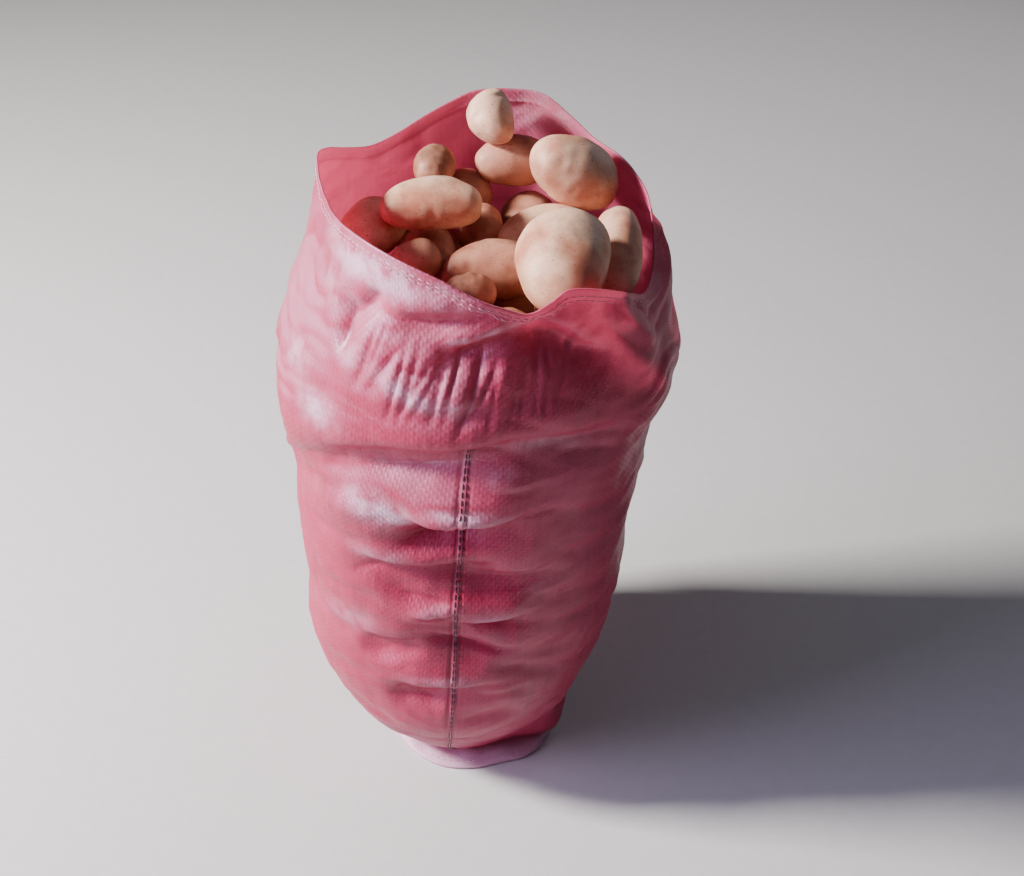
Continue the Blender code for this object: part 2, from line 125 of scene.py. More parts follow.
class LightPatch(NamedTuple):
    """A patch of painted light, paler colour where light falls: its middle, its tilt, its half length and half width,
    and its strength.
    """

    direction: float
    height: float
    tilt: float
    half_length: float
    half_width: float
    strength: float


class PotatoRow(NamedTuple):
    """A potato that shows: how it lies, its size and its look."""

    name: str
    yaw: float
    tilt: float
    length: float
    width: float
    thickness: float
    taper: float
    bend: float
    look: Look


class Lamp(NamedTuple):
    """A studio light: where it stands, its side, its beam's width in degrees, its power and its colour."""

    name: str
    x: float
    y: float
    z: float
    size: float
    beam: float
    watts: float
    colour: str


SECTIONS = (
    Section(0, 8, 8, 84, 82, 1.75),
    Section(9, 7, 8, 97, 93, 1.7),
    Section(26, -1, 7, 118, 106, 1.65),
    Section(52, -6, 5, 134, 121, 1.7),
    Section(90, -4, 2, 146, 142, 1.85),
    Section(135, -2, 0, 153, 154, 1.95),
    Section(190, 2, 0, 158, 159, 2.05),
    Section(250, 4, 0, 159, 160, 2.05),
    Section(310, 5, 0, 160, 160, 2.05),
    Section(370, 8, 0, 164, 158, 2.05),
    Section(415, 10, 0, 168, 156, 2.05),
    Section(450, 13, 0, 173, 157, 2.05),
    Section(480, 16, 0, 177, 159, 2.0),
    Section(505, 18, 0, 176, 159, 2.0),
)

RIM = (
    RimPoint(-119, 40, 642),
    RimPoint(-115, 8, 640),
    RimPoint(-108, -20, 636),
    RimPoint(-92, -66, 639),
    RimPoint(-67, -106, 643),
    RimPoint(-41, -128, 640),
    RimPoint(-12, -140, 632),
    RimPoint(17, -146, 619),
    RimPoint(39, -145, 610),
    RimPoint(54, -142, 605),
    RimPoint(69, -134, 610),
    RimPoint(82, -127, 617),
    RimPoint(108, -110, 608),
    RimPoint(134, -82, 588),
    RimPoint(152, -45, 565),
    RimPoint(163, -5, 560),
    RimPoint(166, 25, 575),
    RimPoint(162, 50, 601),
    RimPoint(152, 78, 611),
    RimPoint(140, 98, 617),
    RimPoint(118, 128, 620),
    RimPoint(98, 146, 632),
    RimPoint(74, 159, 646),
    RimPoint(51, 166, 648),
    RimPoint(10, 168, 645),
    RimPoint(-13, 163, 636),
    RimPoint(-40, 152, 624),
    RimPoint(-60, 140, 615),
    RimPoint(-82, 120, 612),
    RimPoint(-102, 92, 623),
    RimPoint(-114, 66, 635),
)

FLOOR_OUTLINE = (
    FloorPoint(-180, 80),
    FloorPoint(-140, 82),
    FloorPoint(-100, 84),
    FloorPoint(-75, 82),
    FloorPoint(-58, 87),
    FloorPoint(-38, 94),
    FloorPoint(-22, 101),
    FloorPoint(-10, 105),
    FloorPoint(8, 107),
    FloorPoint(25, 109),
    FloorPoint(38, 116),
    FloorPoint(54, 117),
    FloorPoint(68, 113),
    FloorPoint(82, 103),
    FloorPoint(100, 95),
    FloorPoint(140, 88),
    FloorPoint(180, 80),
)

SEAM_LINE = (
    SeamPoint(0, -1.2),
    SeamPoint(118, -1.4),
    SeamPoint(213, -2.2),
    SeamPoint(312, -2.0),
    SeamPoint(411, -1.8),
    SeamPoint(483, -2.2),
    SeamPoint(538, 0.0),
    SeamPoint(640, 3.0),
)

MAIN_FOLDS = (
    # The waist under the belly, from the left side to the right
    Fold(-66, 398, 24, 44, 17, 7, 4),
    Fold(-38, 452, 28, 46, 17, 7, 5),
    Fold(-8, 482, 11, 48, 16, 7, 6),
    Fold(27, 484, -6, 46, 20, 7, 3),
    Fold(62, 438, -26, 60, 22, 6, 2),
    Fold(-17, 458, 12, 40, 12, 4, 2),
    # The ledges down the front
    Fold(0, 408, 8, 46, 14, 0, 9),
    Fold(-8, 380, 14, 42, 16, 7, 0),
    Fold(-12, 345, 5, 58, 13, 7, 4),
    Fold(18, 340, 4, 36, 15, 3, 3),
    Fold(-13, 312, -6, 30, 12, 6, 0),
    Fold(3, 290, 4, 50, 13, 1, 6),
    Fold(-2, 256, -12, 42, 14, 7, 3),
    Fold(-24, 238, 10, 28, 14, 7, 0),
    Fold(26, 240, -8, 40, 16, 3, 3),
    Fold(-6, 190, 4, 46, 13, 6, 4),
    Fold(-14, 174, 4, 26, 12, 3, 0),
    Fold(12, 158, 8, 34, 15, 3, 2),
    Fold(-2, 102, 4, 60, 20, 4, 3),
    # The pull towards the notch in the mouth's front edge
    Fold(16, 590, -72, 28, 13, 10, 0),
    Fold(-6, 597, 8, 46, 11, 5, 3),
    Fold(2, 578, 22, 34, 12, 6, 3),
    Fold(24, 578, -36, 38, 13, 6, 3),
    Fold(54, 560, -42, 36, 13, -7, 0),
    # The hollow round the left shoulder's potato
    Fold(-41, 570, 86, 20, 12, 5, 0),
    Fold(-33, 592, 40, 22, 12, 5, 0),
    # The steep creases over the belly
    Fold(-26, 554, 74, 26, 12, 2, 0),
    Fold(-10, 556, 74, 26, 12, 2, 0),
    Fold(1, 546, 76, 34, 12, 3, 0),
    Fold(14, 548, 76, 26, 12, 2, 0),
    # The right side
    Fold(84, 330, 30, 60, 22, 5, 2),
    Fold(72, 210, 24, 60, 20, 4, 3),
    Fold(72, 88, 8, 44, 26, 15, 0),
    # The left side
    Fold(-82, 250, -14, 60, 22, 4, 2),
    Fold(-70, 130, -20, 50, 20, 4, 2),
)

FINE_FOLDS = (
    # Round the notch: the dark pulls and the light ridges between them
    Fold(-8, 600, 8, 42, 5, 4.0, 0),
    Fold(6, 606, 3, 22, 3.5, 3.0, 0),
    Fold(4, 590, 13, 36, 4.5, -3.4, 0),
    Fold(2, 579, 22, 26, 4.5, 5.0, 0),
    Fold(13, 597, 34, 14, 4, 3.0, 0),
    Fold(22, 590, -34, 22, 6, 3.6, 0),
    Fold(30, 573, -36, 36, 7, 3.0, 1.6),
    Fold(52, 566, -46, 32, 7, -3.4, 0),
    Fold(45, 564, -44, 28, 5, 3.0, 0),
    Fold(60, 570, -60, 26, 5, 2.4, 0),
    # The hollow on the left shoulder
    Fold(-41, 568, 84, 18, 5.5, 4.4, 0),
    Fold(-34, 592, 44, 20, 5.5, 4.2, 0),
    Fold(-48, 588, 50, 24, 9, -2.0, 0),
    # The waist
    Fold(-31, 473, 20, 34, 6, 2.6, 2.6),
    Fold(-6, 490, 10, 38, 5.5, 3.2, 3.4),
    Fold(26, 491, -6, 34, 7, 2.4, 1.8),
    Fold(-18, 459, 12, 38, 5, 3.2, 1.2),
    Fold(-60, 424, 34, 34, 6, 2.4, 2.0),
    Fold(34, 466, -14, 30, 6, 2.0, 1.0),
    Fold(11, 458, 4, 18, 10, -1.8, 0),
    Fold(14, 446, 3, 20, 4, 1.6, 1.2),
    # The first ledge and the wedge under it
    Fold(-2, 424, 2, 34, 3.5, 2.6, 0),
    Fold(0, 414, 8, 42, 4.5, 0, 5.4),
    Fold(4, 403, 8, 36, 5, 3.4, 0),
    Fold(-14, 379, 12, 18, 7, 4.2, 0),
    Fold(20, 416, 4, 20, 5, 0, 2.2),
    # The ledges and creases below it
    Fold(-13, 350, 3, 50, 4, 4.4, 2.2),
    Fold(-31, 337, 34, 18, 4.5, 2.8, 0),
    Fold(14, 341, 4, 30, 5, 1.6, 2.0),
    Fold(-12, 310, -8, 22, 4.5, 3.4, 1.6),
    Fold(-20, 322, 8, 20, 6, 2.0, 0),
    Fold(-8, 296, 12, 20, 3.8, 1.2, 3.6),
    Fold(9, 286, 3, 30, 3.8, 1.2, 3.8),
    Fold(-8, 277, -6, 30, 4, 2.2, 1.4),
    Fold(0, 256, -13, 38, 4.5, 4.6, 2.2),
    Fold(-24, 250, 6, 24, 4.5, 2.2, 2.0),
    Fold(-28, 228, 8, 20, 8, 2.4, 0),
    Fold(18, 250, 4, 24, 5, 1.2, 1.8),
    Fold(24, 216, -14, 30, 6, 2.2, 1.0),
    Fold(-5, 198, 3, 44, 4.2, 4.2, 3.0),
    Fold(-21, 182, 44, 16, 5, 2.8, 0),
    Fold(-13, 176, 2, 24, 7, 2.6, 0),
    Fold(16, 188, 8, 22, 5, 1.0, 2.2),
    Fold(12, 152, 12, 26, 6, 2.0, 1.2),
    Fold(-4, 100, 3, 56, 6, 3.8, 2.4),
    Fold(20, 92, 10, 34, 6, 3.0, 1.2),
    Fold(-30, 130, -18, 36, 8, 2.0, 1.2),
    Fold(24, 120, 20, 26, 8, 2.0, 0.8),
    # The left side, long and low
    Fold(-48, 410, 16, 40, 7, 2.0, 1.4),
    Fold(-50, 360, 10, 44, 8, 2.0, 1.6),
    Fold(-42, 300, 8, 40, 7, 1.6, 1.6),
    Fold(-52, 240, 6, 44, 8, 2.2, 1.4),
    Fold(-44, 190, 12, 36, 7, 1.6, 1.2),
    # The right side
    Fold(40, 398, -18, 44, 8, 2.4, 1.6),
    Fold(46, 350, -14, 48, 8, 2.2, 1.8),
    Fold(38, 306, -8, 44, 8, 2.2, 1.4),
    Fold(48, 262, -12, 44, 8, 2.6, 1.6),
    Fold(40, 200, -10, 40, 8, 2.2, 1.6),
    Fold(44, 140, 14, 34, 8, 2.6, 1.2),
)

LUMPS = (
    Lump(-28, 562, 34, 28, 6),
    Lump(-20, 520, 60, 34, 5),
    Lump(-15, 536, 50, 14, 3),
    Lump(10, 448, 26, 24, 5),
    Lump(2, 350, 40, 46, -9),
    Lump(-9, 384, 34, 13, -9),
    Lump(6, 318, 34, 26, -5),
    Lump(0, 250, 38, 44, -6),
    Lump(-36, 400, 34, 30, 4),
    Lump(-62, 470, 46, 44, 5),
    Lump(-40, 395, 46, 30, 5),
    Lump(40, 430, 44, 36, 3),
    Lump(97, 556, 64, 30, 15),
    Lump(48, 300, 50, 50, 4),
    Lump(-50, 300, 46, 44, 3),
    Lump(-44, 190, 44, 40, 3),
    Lump(30, 150, 46, 34, 3),
    Lump(56, 14, 52, 34, 26),
    Lump(-60, 78, 50, 36, -14),
    Lump(100, 450, 44, 44, 4),
)

# Painted highlights: pale patches that stand in for the gloss on the lit left and upward faces
PAINTED_HIGHLIGHTS = (
    # Under the hem on the left shoulder
    LightPatch(-34, 621, 0, 80, 17, 1.0),
    LightPatch(-50, 590, -10, 40, 18, 0.5),
    LightPatch(4, 588, 14, 34, 4, 0.9),
    # Over the belly
    LightPatch(-15, 536, -17, 32, 9, 1.0),
    LightPatch(-36, 552, 40, 16, 10, 0.6),
    LightPatch(-48, 490, 4, 20, 14, 1.0),
    LightPatch(-62, 520, 10, 26, 18, 0.6),
    # Round the waist
    LightPatch(-17, 459, 14, 42, 7, 0.5),
    LightPatch(6, 460, 0, 18, 13, 0.3),
    LightPatch(20, 484, -12, 32, 9, 0.35),
    # On the ledges
    LightPatch(-26, 409, -12, 32, 14, 1.0),
    LightPatch(-2, 422, 3, 30, 4, 0.8),
    LightPatch(-8, 301, 12, 17, 4, 0.45),
    LightPatch(10, 293, 3, 26, 4, 0.45),
    LightPatch(-28, 356, 10, 26, 8, 0.35),
    LightPatch(-6, 208, 4, 30, 5, 0.4),
    LightPatch(-40, 260, 10, 30, 14, 0.3),
)

# Painted sunlight: a pale patch on the inside of the back right wall, where the sun falls
INNER_PAINTED_SUNLIGHT = (
    LightPatch(158, 630, 0, 40, 22, 1.0),
    LightPatch(140, 604, 20, 26, 12, 0.6),
)

POTATOES = (
    PotatoRow("potato_front_low", 6, 0, 66, 50, 44, 0.10, 3, Look.SOILED_AND_SHADED),
    PotatoRow("potato_front_left_low", -14, 0, 62, 48, 44, 0.08, 2, Look.SOILED_AND_SHADED),
    PotatoRow("potato_left_low", 76, 0, 70, 52, 46, 0.05, 4, Look.SOILED_AND_SHADED),
    PotatoRow("potato_front_gap", 10, 0, 44, 34, 34, 0.05, 0, Look.SOILED_AND_SHADED),
    PotatoRow("potato_back_left_low", 30, 0, 62, 48, 44, 0.05, 2, Look.SOILED_AND_SHADED),
    PotatoRow("potato_back_low", 8, 0, 54, 46, 46, 0.05, 2, Look.SOILED_AND_SHADED),
    PotatoRow("potato_right_back_low", 96, 0, 66, 54, 46, 0.05, 2, Look.SOILED_AND_SHADED),
    PotatoRow("potato_under_egg", 90, 0, 54, 44, 36, 0.05, 0, Look.SOILED_AND_SHADED),
    PotatoRow("potato_under_oval", 100, 0, 58, 50, 32, 0.05, 2, Look.SOILED_AND_SHADED),
    PotatoRow("potato_right_flat", 8, 0, 94, 58, 57, 0.05, 4, Look.CLEAN),
    PotatoRow("potato_right_shaded", 87, 18, 92, 46, 50, 0.06, 2, Look.CLEAN),
    PotatoRow("potato_front_lying", 6, -3, 86, 52, 50, 0.16, 5, Look.SOILED_AND_SHADED),
    PotatoRow("potato_middle_shaded", 84, 18, 56, 40, 40, 0.08, 2, Look.SOILED_AND_SHADED),
    PotatoRow("potato_left_red", 64, 4, 66, 54, 48, 0.08, 0, Look.CLEAN),
    PotatoRow("potato_front_small", 25, 6, 46, 38, 34, 0.12, 0, Look.SOILED_AND_SHADED),
    PotatoRow("potato_back_dark", 6, 0, 70, 46, 46, 0.05, 2, Look.SOILED_AND_SHADED),
    PotatoRow("potato_left_oval", 3, 2, 88, 50, 44, 0.04, 4, Look.CLEAN),
    PotatoRow("potato_back_small", 80, 10, 46, 38, 36, 0.10, 0, Look.SOILED_AND_SHADED),
    PotatoRow("potato_right_back", 8, -32, 84, 62, 58, 0.10, 3, Look.CLEAN),
    PotatoRow("potato_front_egg", 82, 18, 98, 75, 64, 0.14, 2, Look.CLEAN),
    PotatoRow("potato_back_top", 106, 26, 52, 42, 40, 0.12, 3, Look.CLEAN),
)

LAMPS = (
    Lamp("key", -2.62, -0.06, 2.07, 0.5, 135, 185, "#FFFAF6"),
    Lamp("panel", -1.9, -0.6, 0.95, 0.9, 100, 13, "#DCD2FF"),
    Lamp("back", 1.7, 2.0, 1.7, 1.6, 180, 11, "#F4F1FF"),
    Lamp("sky", -1.1, -0.9, 2.9, 1.6, 180, 4, "#C9D2FF"),
    Lamp("violet", 1.2, -1.8, 2.6, 1.6, 180, 2, "#B8AEFF"),
)


def linear(colour: str) -> tuple[float, float, float, float]:
    """Turns an sRGB hex colour to linear values.

    Args:
        colour: Six hex digits after a hash.

    Returns:
        Red, green, blue and alpha, linear.
    """
    channels = []
    for start in (1, 3, 5):
        value = int(colour[start:start + 2], 16) / 255.0
        channels.append(value / 12.92 if value <= 0.04045 else ((value + 0.055) / 1.055) ** 2.4)
    return channels[0], channels[1], channels[2], 1.0


class MaterialNodes:
    """A new material, and what adds nodes to it."""

    def __init__(self, name: str) -> None:
        """Makes the material, which starts with a Principled shader."""
        self.material = bpy.data.materials.new(name)
        self.material.use_nodes = True
        self.tree = self.material.node_tree

    def fill(self, node: bpy.types.Node, settings: dict[Any, Any], links: dict[Any, Any]) -> bpy.types.Node:
        """Gives a node its settings and links.

        Args:
            node: The node.
            settings: Its own properties, and its sockets' values by the socket's name or number.
            links: The output socket that feeds each input, by the input's name or number.

        Returns:
            The same node.
        """
        for key, value in settings.items():
            if isinstance(key, str) and key.islower() and hasattr(node, key):
                setattr(node, key, value)
            else:
                node.inputs[key].default_value = value
        for key, socket in links.items():
            self.tree.links.new(socket, node.inputs[key])
        return node

    def add(self, kind: str, settings: dict[Any, Any], links: dict[Any, Any]) -> bpy.types.Node:
        """Adds a node. Its kind is its type's name without the ShaderNode at the start, and the rest is as in fill."""
        return self.fill(self.tree.nodes.new("ShaderNode" + kind), settings, links)

    def finish(self, settings: dict[Any, Any], links: dict[Any, Any]) -> bpy.types.Material:
        """Fills in the material's Principled shader and hands over the material."""
        self.fill(self.tree.nodes["Principled BSDF"], settings, links)
        return self.material

    def calculate(self, operation: str, *terms: Any) -> Socket:
        """Adds a sum.

        Args:
            operation: What the Math node does.
            terms: What it does it to, in order, each a number or an output socket.

        Returns:
            The result.
        """
        numbers = {place: term for place, term in enumerate(terms) if isinstance(term, float)}
        sockets = {place: term for place, term in enumerate(terms) if not isinstance(term, float)}
        return self.add("Math", {"operation": operation, **numbers}, sockets).outputs[0]

    def remap(self, value: Socket, source: tuple[float, float], target: tuple[float, float],
              smooth: bool = False) -> Socket:
        """Adds a change from one range of values to another.

        Args:
            value: The value to change.
            source: The range that it is read in.
            target: What the ends of that range become.
            smooth: Whether it eases in and out.

        Returns:
            The changed value.
        """
        ranges = {"From Min": source[0], "From Max": source[1], "To Min": target[0], "To Max": target[1]}
        kind = {"interpolation_type": "SMOOTHSTEP" if smooth else "LINEAR"}
        return self.add("MapRange", {**kind, **ranges}, {"Value": value}).outputs[0]

    def mottle(self, place: Socket, size_mm: float, detail: float, **more: float) -> Socket:
        """Adds uneven patches.

        Args:
            place: Where on the piece.
            size_mm: About how large a patch is.
            detail: How much finer patches there are in it.
            more: Other inputs of the Noise Texture, by their names in small letters.

        Returns:
            A value round a half.
        """
        settings = {"Scale": 1.0 / (size_mm * MM), "Detail": detail}
        settings.update({name.capitalize(): value for name, value in more.items()})
        return self.add("TexNoise", settings, {"Vector": place}).outputs["Fac"]

    def ramp(self, value: Socket, *stops: tuple[float, str]) -> Socket:
        """Adds colours that a value picks.

        Args:
            value: The value, from 0 to 1.
            stops: Pairs of a value and its hex colour, the lowest first.

        Returns:
            The colour.
        """
        node = self.add("ValToRGB", {}, {"Fac": value})
        elements = node.color_ramp.elements
        while len(elements) > 1:
            elements.remove(elements[-1])
        elements[0].position, elements[0].color = stops[0][0], linear(stops[0][1])
        for place, colour in stops[1:]:
            elements.new(place).color = linear(colour)
        return node.outputs[0]

    def cover(self, under: Socket, colour: str, share: Socket) -> Socket:
        """Adds a colour that lies over another.

        Args:
            under: The colour below.
            colour: The colour on top.
            share: How much of it hides what is below.

        Returns:
            The colour that shows.
        """
        settings = {"data_type": "RGBA", "B": linear(colour)}
        return self.add("Mix", settings, {"Factor": share, "A": under}).outputs[2]

    def relief(self, height: Socket, depth_mm: float, strength: float, under: Socket | None = None,
               inwards: bool = False) -> Socket:
        """Adds fine relief to a surface.

        Args:
            height: The relief, from 0 to 1.
            depth_mm: How deep it is.
            strength: How much of it shows.
            under: Relief that it lies on.
            inwards: Whether it goes into the surface.

        Returns:
            The surface's normal.
        """
        links = {"Height": height} if under is None else {"Height": height, "Normal": under}
        settings = {"Strength": strength, "Distance": depth_mm * MM, "invert": inwards}
        return self.add("Bump", settings, links).outputs[0]

    def object_place(self) -> Socket:
        """Adds the place on the object, in metres."""
        return self.add("TexCoord", {}, {}).outputs["Object"]


def turn_between(a: np.ndarray, b: float) -> np.ndarray:
    """The signed turn in degrees from direction b to the directions a."""
    return (a - b + 180.0) % 360.0 - 180.0


def outward(direction: np.ndarray) -> np.ndarray:
    """Level unit vectors that point out of the sack.

    Args:
        direction: Directions in degrees.

    Returns:
        One vector for each, along a new last axis.
    """
    angle = np.radians(direction)
    return np.stack([np.sin(angle), -np.cos(angle), np.zeros_like(angle)], axis=-1)


def ease(share: np.ndarray) -> np.ndarray:
    """Turns shares to a smooth rise from 0 to 1."""
    held = np.clip(share, 0.0, 1.0)
    return held * held * (3.0 - 2.0 * held)


def hermite(t: np.ndarray, here: np.ndarray, slope_here: np.ndarray, there: np.ndarray,
            slope_there: np.ndarray) -> np.ndarray:
    """A cubic between two values.

    Args:
        t: The share of the way, 0 to 1.
        here: The value at 0.
        slope_here: The slope at 0.
        there: The value at 1.
        slope_there: The slope at 1.

    Returns:
        The values at t.
    """
    return (
        (2 * t ** 3 - 3 * t ** 2 + 1) * here
        + (t ** 3 - 2 * t ** 2 + t) * slope_here
        + (3 * t ** 2 - 2 * t ** 3) * there
        + (t ** 3 - t ** 2) * slope_there
    )


class SmoothTable:
    """A table that is read along a smooth curve through its rows. Its first column is the key."""

    def __init__(self, rows: Iterable[Sequence[float]]) -> None:
        """Keeps the rows and works out the slope at each."""
        table = np.array([list(row) for row in rows], dtype=float)
        self.keys = table[:, 0]
        self.values = table[:, 1:]
        before = np.maximum(np.arange(len(table)) - 1, 0)
        after = np.minimum(np.arange(len(table)) + 1, len(table) - 1)
        self.slopes = (self.values[after] - self.values[before]) / (self.keys[after] - self.keys[before])[:, None]

    def read(self, at: np.ndarray) -> np.ndarray:
        """Reads every column at some keys.

        Args:
            at: The keys, in any shape.

        Returns:
            The values, one column each along a new last axis.
        """
        held = np.clip(at, self.keys[0], self.keys[-1])
        index = np.clip(np.searchsorted(self.keys, held, side="right") - 1, 0, len(self.keys) - 2)
        span = (self.keys[index + 1] - self.keys[index])[..., None]
        t = (held - self.keys[index])[..., None] / span
        return hermite(t, self.values[index], self.slopes[index] * span,
                       self.values[index + 1], self.slopes[index + 1] * span)


def closed_faces(rings: int, columns: int, first: int, ends: tuple[int, int]) -> list[tuple[int, ...]]:
    """The faces of rings of points that a middle point closes at each end.

    Args:
        rings: How many rings.
        columns: The points in each.
        first: The number of the first ring's first point.
        ends: The numbers of the two middle points.

    Returns:
        The faces, as point numbers: the rings' own first, then the ends'.
    """
    turns = [(column, (column + 1) % columns) for column in range(columns)]
    faces: list[tuple[int, ...]] = []
    for ring in range(rings - 1):
        low = first + ring * columns
        high = low + columns
        faces += [(low + here, low + after, high + after, high + here) for here, after in turns]
    last = first + (rings - 1) * columns
    for here, after in turns:
        faces.append((first + after, first + here, ends[0]))
        faces.append((last + here, last + after, ends[1]))
    return faces


def make_piece(name: str, points: np.ndarray, faces: Sequence[Sequence[int]],
               material: bpy.types.Material) -> bpy.types.Object:
    """Makes a smooth mesh object that rides on the sack's one body.

    Args:
        name: The piece's name.
        points: Its points, in metres.
        faces: Its faces, as point numbers.
        material: What it is made of.

    Returns:
        The new object, linked into the scene.
    """
    mesh = bpy.data.meshes.new(name)
    mesh.from_pydata([tuple(point) for point in points], [], [tuple(face) for face in faces])
    mesh.validate()
    mesh.shade_smooth()
    mesh.materials.append(material)
    piece = bpy.data.objects.new(name, mesh)
    bpy.context.scene.collection.objects.link(piece)
    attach(piece, BODY)
    return piece


@dataclass(frozen=True)
class WovenPolypropylene:
    """Woven polypropylene: flat tapes, slit from film and drawn, in a plain weave, dyed red in the melt.

    The drawn tapes are smooth, so the cloth has a soft plastic gloss along its folds. It is thin enough for the
    sun to glow through it, and the dye is a little uneven from tape to tape. A pale dusting lies at the foot and is
    made paler there as painted light for the lit flange; painted highlights pale what faces up near the mouth on
    the lit left side, and listed patches of painted light pale the cloth where the gloss and the sun fall.
    """

    name: str = "woven_polypropylene"
    colour: str = "#B51848"
    faded: str = "#C63066"
    deep: str = "#761236"
    glow: str = "#FF86A8"
    # The pale of the foot's dusting and of the painted light: highlights, sunlit patches and the lit flange
    dust_and_light_colour: str = "#F3CCE4"
    gloss_tint: str = "#F0E4FF"
    sheen_tint: str = "#F4D8EC"
    tape_mm: float = 3.2
    tape_roundness: float = 0.6
    tape_relief_mm: float = 0.3
    tape_stretch: float = 0.03
    tape_change: float = 0.9
    tape_contrast: float = 0.6
    patch_contrast: float = 0.55
    tone_shift: float = -0.07
    crumple_mm: float = 13.0
    crumple_relief_mm: float = 1.3
    patch_mm: float = 90.0
    # The uneven edges and the greatest strength of the listed patches of painted light
    light_patch_edge_mm: float = 16.0
    painted_light_level: float = 0.95
    # Painted highlight: how much paler the cloth is drawn where it faces up
    upward_highlight_strength: float = 0.28
    # How high the foot's pale band reaches: a dusting, made paler as painted light where the flange is lit
    foot_dust_and_light_m: float = 0.03
    # Where the painted highlight lies: how far the face turns up, the heights near the mouth and the lit left side
    upward_highlight_facing: tuple[float, float] = (0.06, 0.5)
    upward_highlight_heights_m: tuple[float, float] = (0.36, 0.46)
    upward_highlight_sides_m: tuple[float, float] = (-0.05, 0.05)
    roughness: float = 0.46
    translucency: float = 0.3
    sheen: float = 0.06
    specular: float = 0.9
    coat: float = 0.32
    coat_roughness: float = 0.36

    def weave(self, nodes: MaterialNodes, tapes: Socket) -> Socket:
        """The height of the tapes, which pass over and under each other by turns.

        Args:
            nodes: What adds the nodes.
            tapes: The place on the cut cloth, counted in tapes.

        Returns:
            The height, from 0 to 1.
        """
        axes = nodes.add("SeparateXYZ", {}, {0: tapes})
        rises = []
        for axis in (0, 1):
            wave = nodes.calculate("SINE", nodes.calculate("MULTIPLY", axes.outputs[axis], math.pi))
            rises.append(nodes.calculate("POWER", nodes.calculate("ABSOLUTE", wave), self.tape_roundness))
        over = nodes.add("TexChecker", {"Scale": 1.0}, {"Vector": tapes}).outputs["Fac"]
        return nodes.add("Mix", {"data_type": "FLOAT"}, {"Factor": over, "A": rises[0], "B": rises[1]}).outputs[0]

    def dye(self, nodes: MaterialNodes, tapes: Socket, patches: Socket) -> Socket:
        """The dyed colour, uneven from tape to tape and from patch to patch.

        Args:
            nodes: What adds the nodes.
            tapes: The place on the cut cloth, counted in tapes.
            patches: The uneven patches.

        Returns:
            The colour.
        """
        shades = []
        for stretch in ((1.0, self.tape_stretch, 0.0), (self.tape_stretch, 1.0, 0.0)):
            drawn = nodes.add("VectorMath", {"operation": "MULTIPLY", 1: stretch}, {0: tapes}).outputs[0]
            shade = nodes.add("TexNoise", {"Scale": self.tape_change, "Detail": 1.0}, {"Vector": drawn})
            shades.append(shade.outputs["Fac"])
        tape = nodes.add("Mix", {"data_type": "FLOAT", "Factor": 0.25}, {"A": shades[0], "B": shades[1]}).outputs[0]
        tone = nodes.calculate("MULTIPLY_ADD", tape, self.tape_contrast, self.tone_shift)
        tone = nodes.calculate("MULTIPLY_ADD", patches, self.patch_contrast, tone)
        return nodes.ramp(tone, (0.18, self.deep), (0.48, self.colour), (0.86, self.faded))

    def dust_and_light_share(self, nodes: MaterialNodes, cloth: Socket, place: Socket, patches: Socket) -> Socket:
        """How much of the dye is hidden: by the foot's dusting, made paler as painted light, by painted highlights
        on what faces up and by patches of painted light.

        Args:
            nodes: What adds the nodes.
            cloth: The place on the cut cloth, in metres.
            place: The place on the sack.
            patches: The uneven patches.

        Returns:
            The share, from 0 to 1.
        """
        up = nodes.add("SeparateXYZ", {}, {0: cloth}).outputs["Y"]
        # The foot: a dusting, made paler as painted light where the flange is lit
        foot = nodes.remap(up, (0.4 * self.foot_dust_and_light_m, self.foot_dust_and_light_m), (0.85, 0.0))
        # Painted highlight: paler where the face turns up, higher up and on the left, where the light falls
        facing = nodes.add("SeparateXYZ", {}, {0: nodes.add("NewGeometry", {}, {}).outputs["Normal"]})
        spot = nodes.add("SeparateXYZ", {}, {0: place})
        upward_highlight = nodes.remap(facing.outputs["Z"], self.upward_highlight_facing, (0.0, self.upward_highlight_strength), smooth=True)
        uneven = nodes.remap(patches, (0.38, 0.58), (0.45, 1.0))
        high = nodes.remap(spot.outputs["Z"], self.upward_highlight_heights_m, (0.25, 1.0), smooth=True)
        left = nodes.remap(spot.outputs["X"], self.upward_highlight_sides_m, (1.0, 0.4), smooth=True)
        for share in (uneven, high, left):
            upward_highlight = nodes.calculate("MULTIPLY", upward_highlight, share)
        # Painted light: the listed patches, with uneven edges from this noise
        rubbed = nodes.remap(nodes.mottle(place, self.light_patch_edge_mm, 3.0), (0.34, 0.58), (0.25, self.painted_light_level))
        light_patches = nodes.add("Attribute", {"attribute_name": "painted_light"}, {}).outputs["Fac"]
        painted_light_level = nodes.calculate("MULTIPLY", light_patches, rubbed)
        return nodes.calculate("MAXIMUM", foot, nodes.calculate("MAXIMUM", upward_highlight, painted_light_level))

    def make(self) -> bpy.types.Material:
        """Builds the material. The weave follows the cut cloth, which the map named cloth holds in metres."""
        nodes = MaterialNodes(self.name)
        nodes.tree.nodes.clear()
        cloth = nodes.add("UVMap", {"uv_map": "cloth"}, {}).outputs["UV"]
        place = nodes.object_place()
        # Such tapes are nearer 2.5 mm wide, and are drawn a little wider so that they show
        per_tape = {"operation": "SCALE", "Scale": 1.0 / (self.tape_mm * MM)}
        tapes = nodes.add("VectorMath", per_tape, {0: cloth}).outputs[0]
        patches = nodes.mottle(place, self.patch_mm, 3.0)
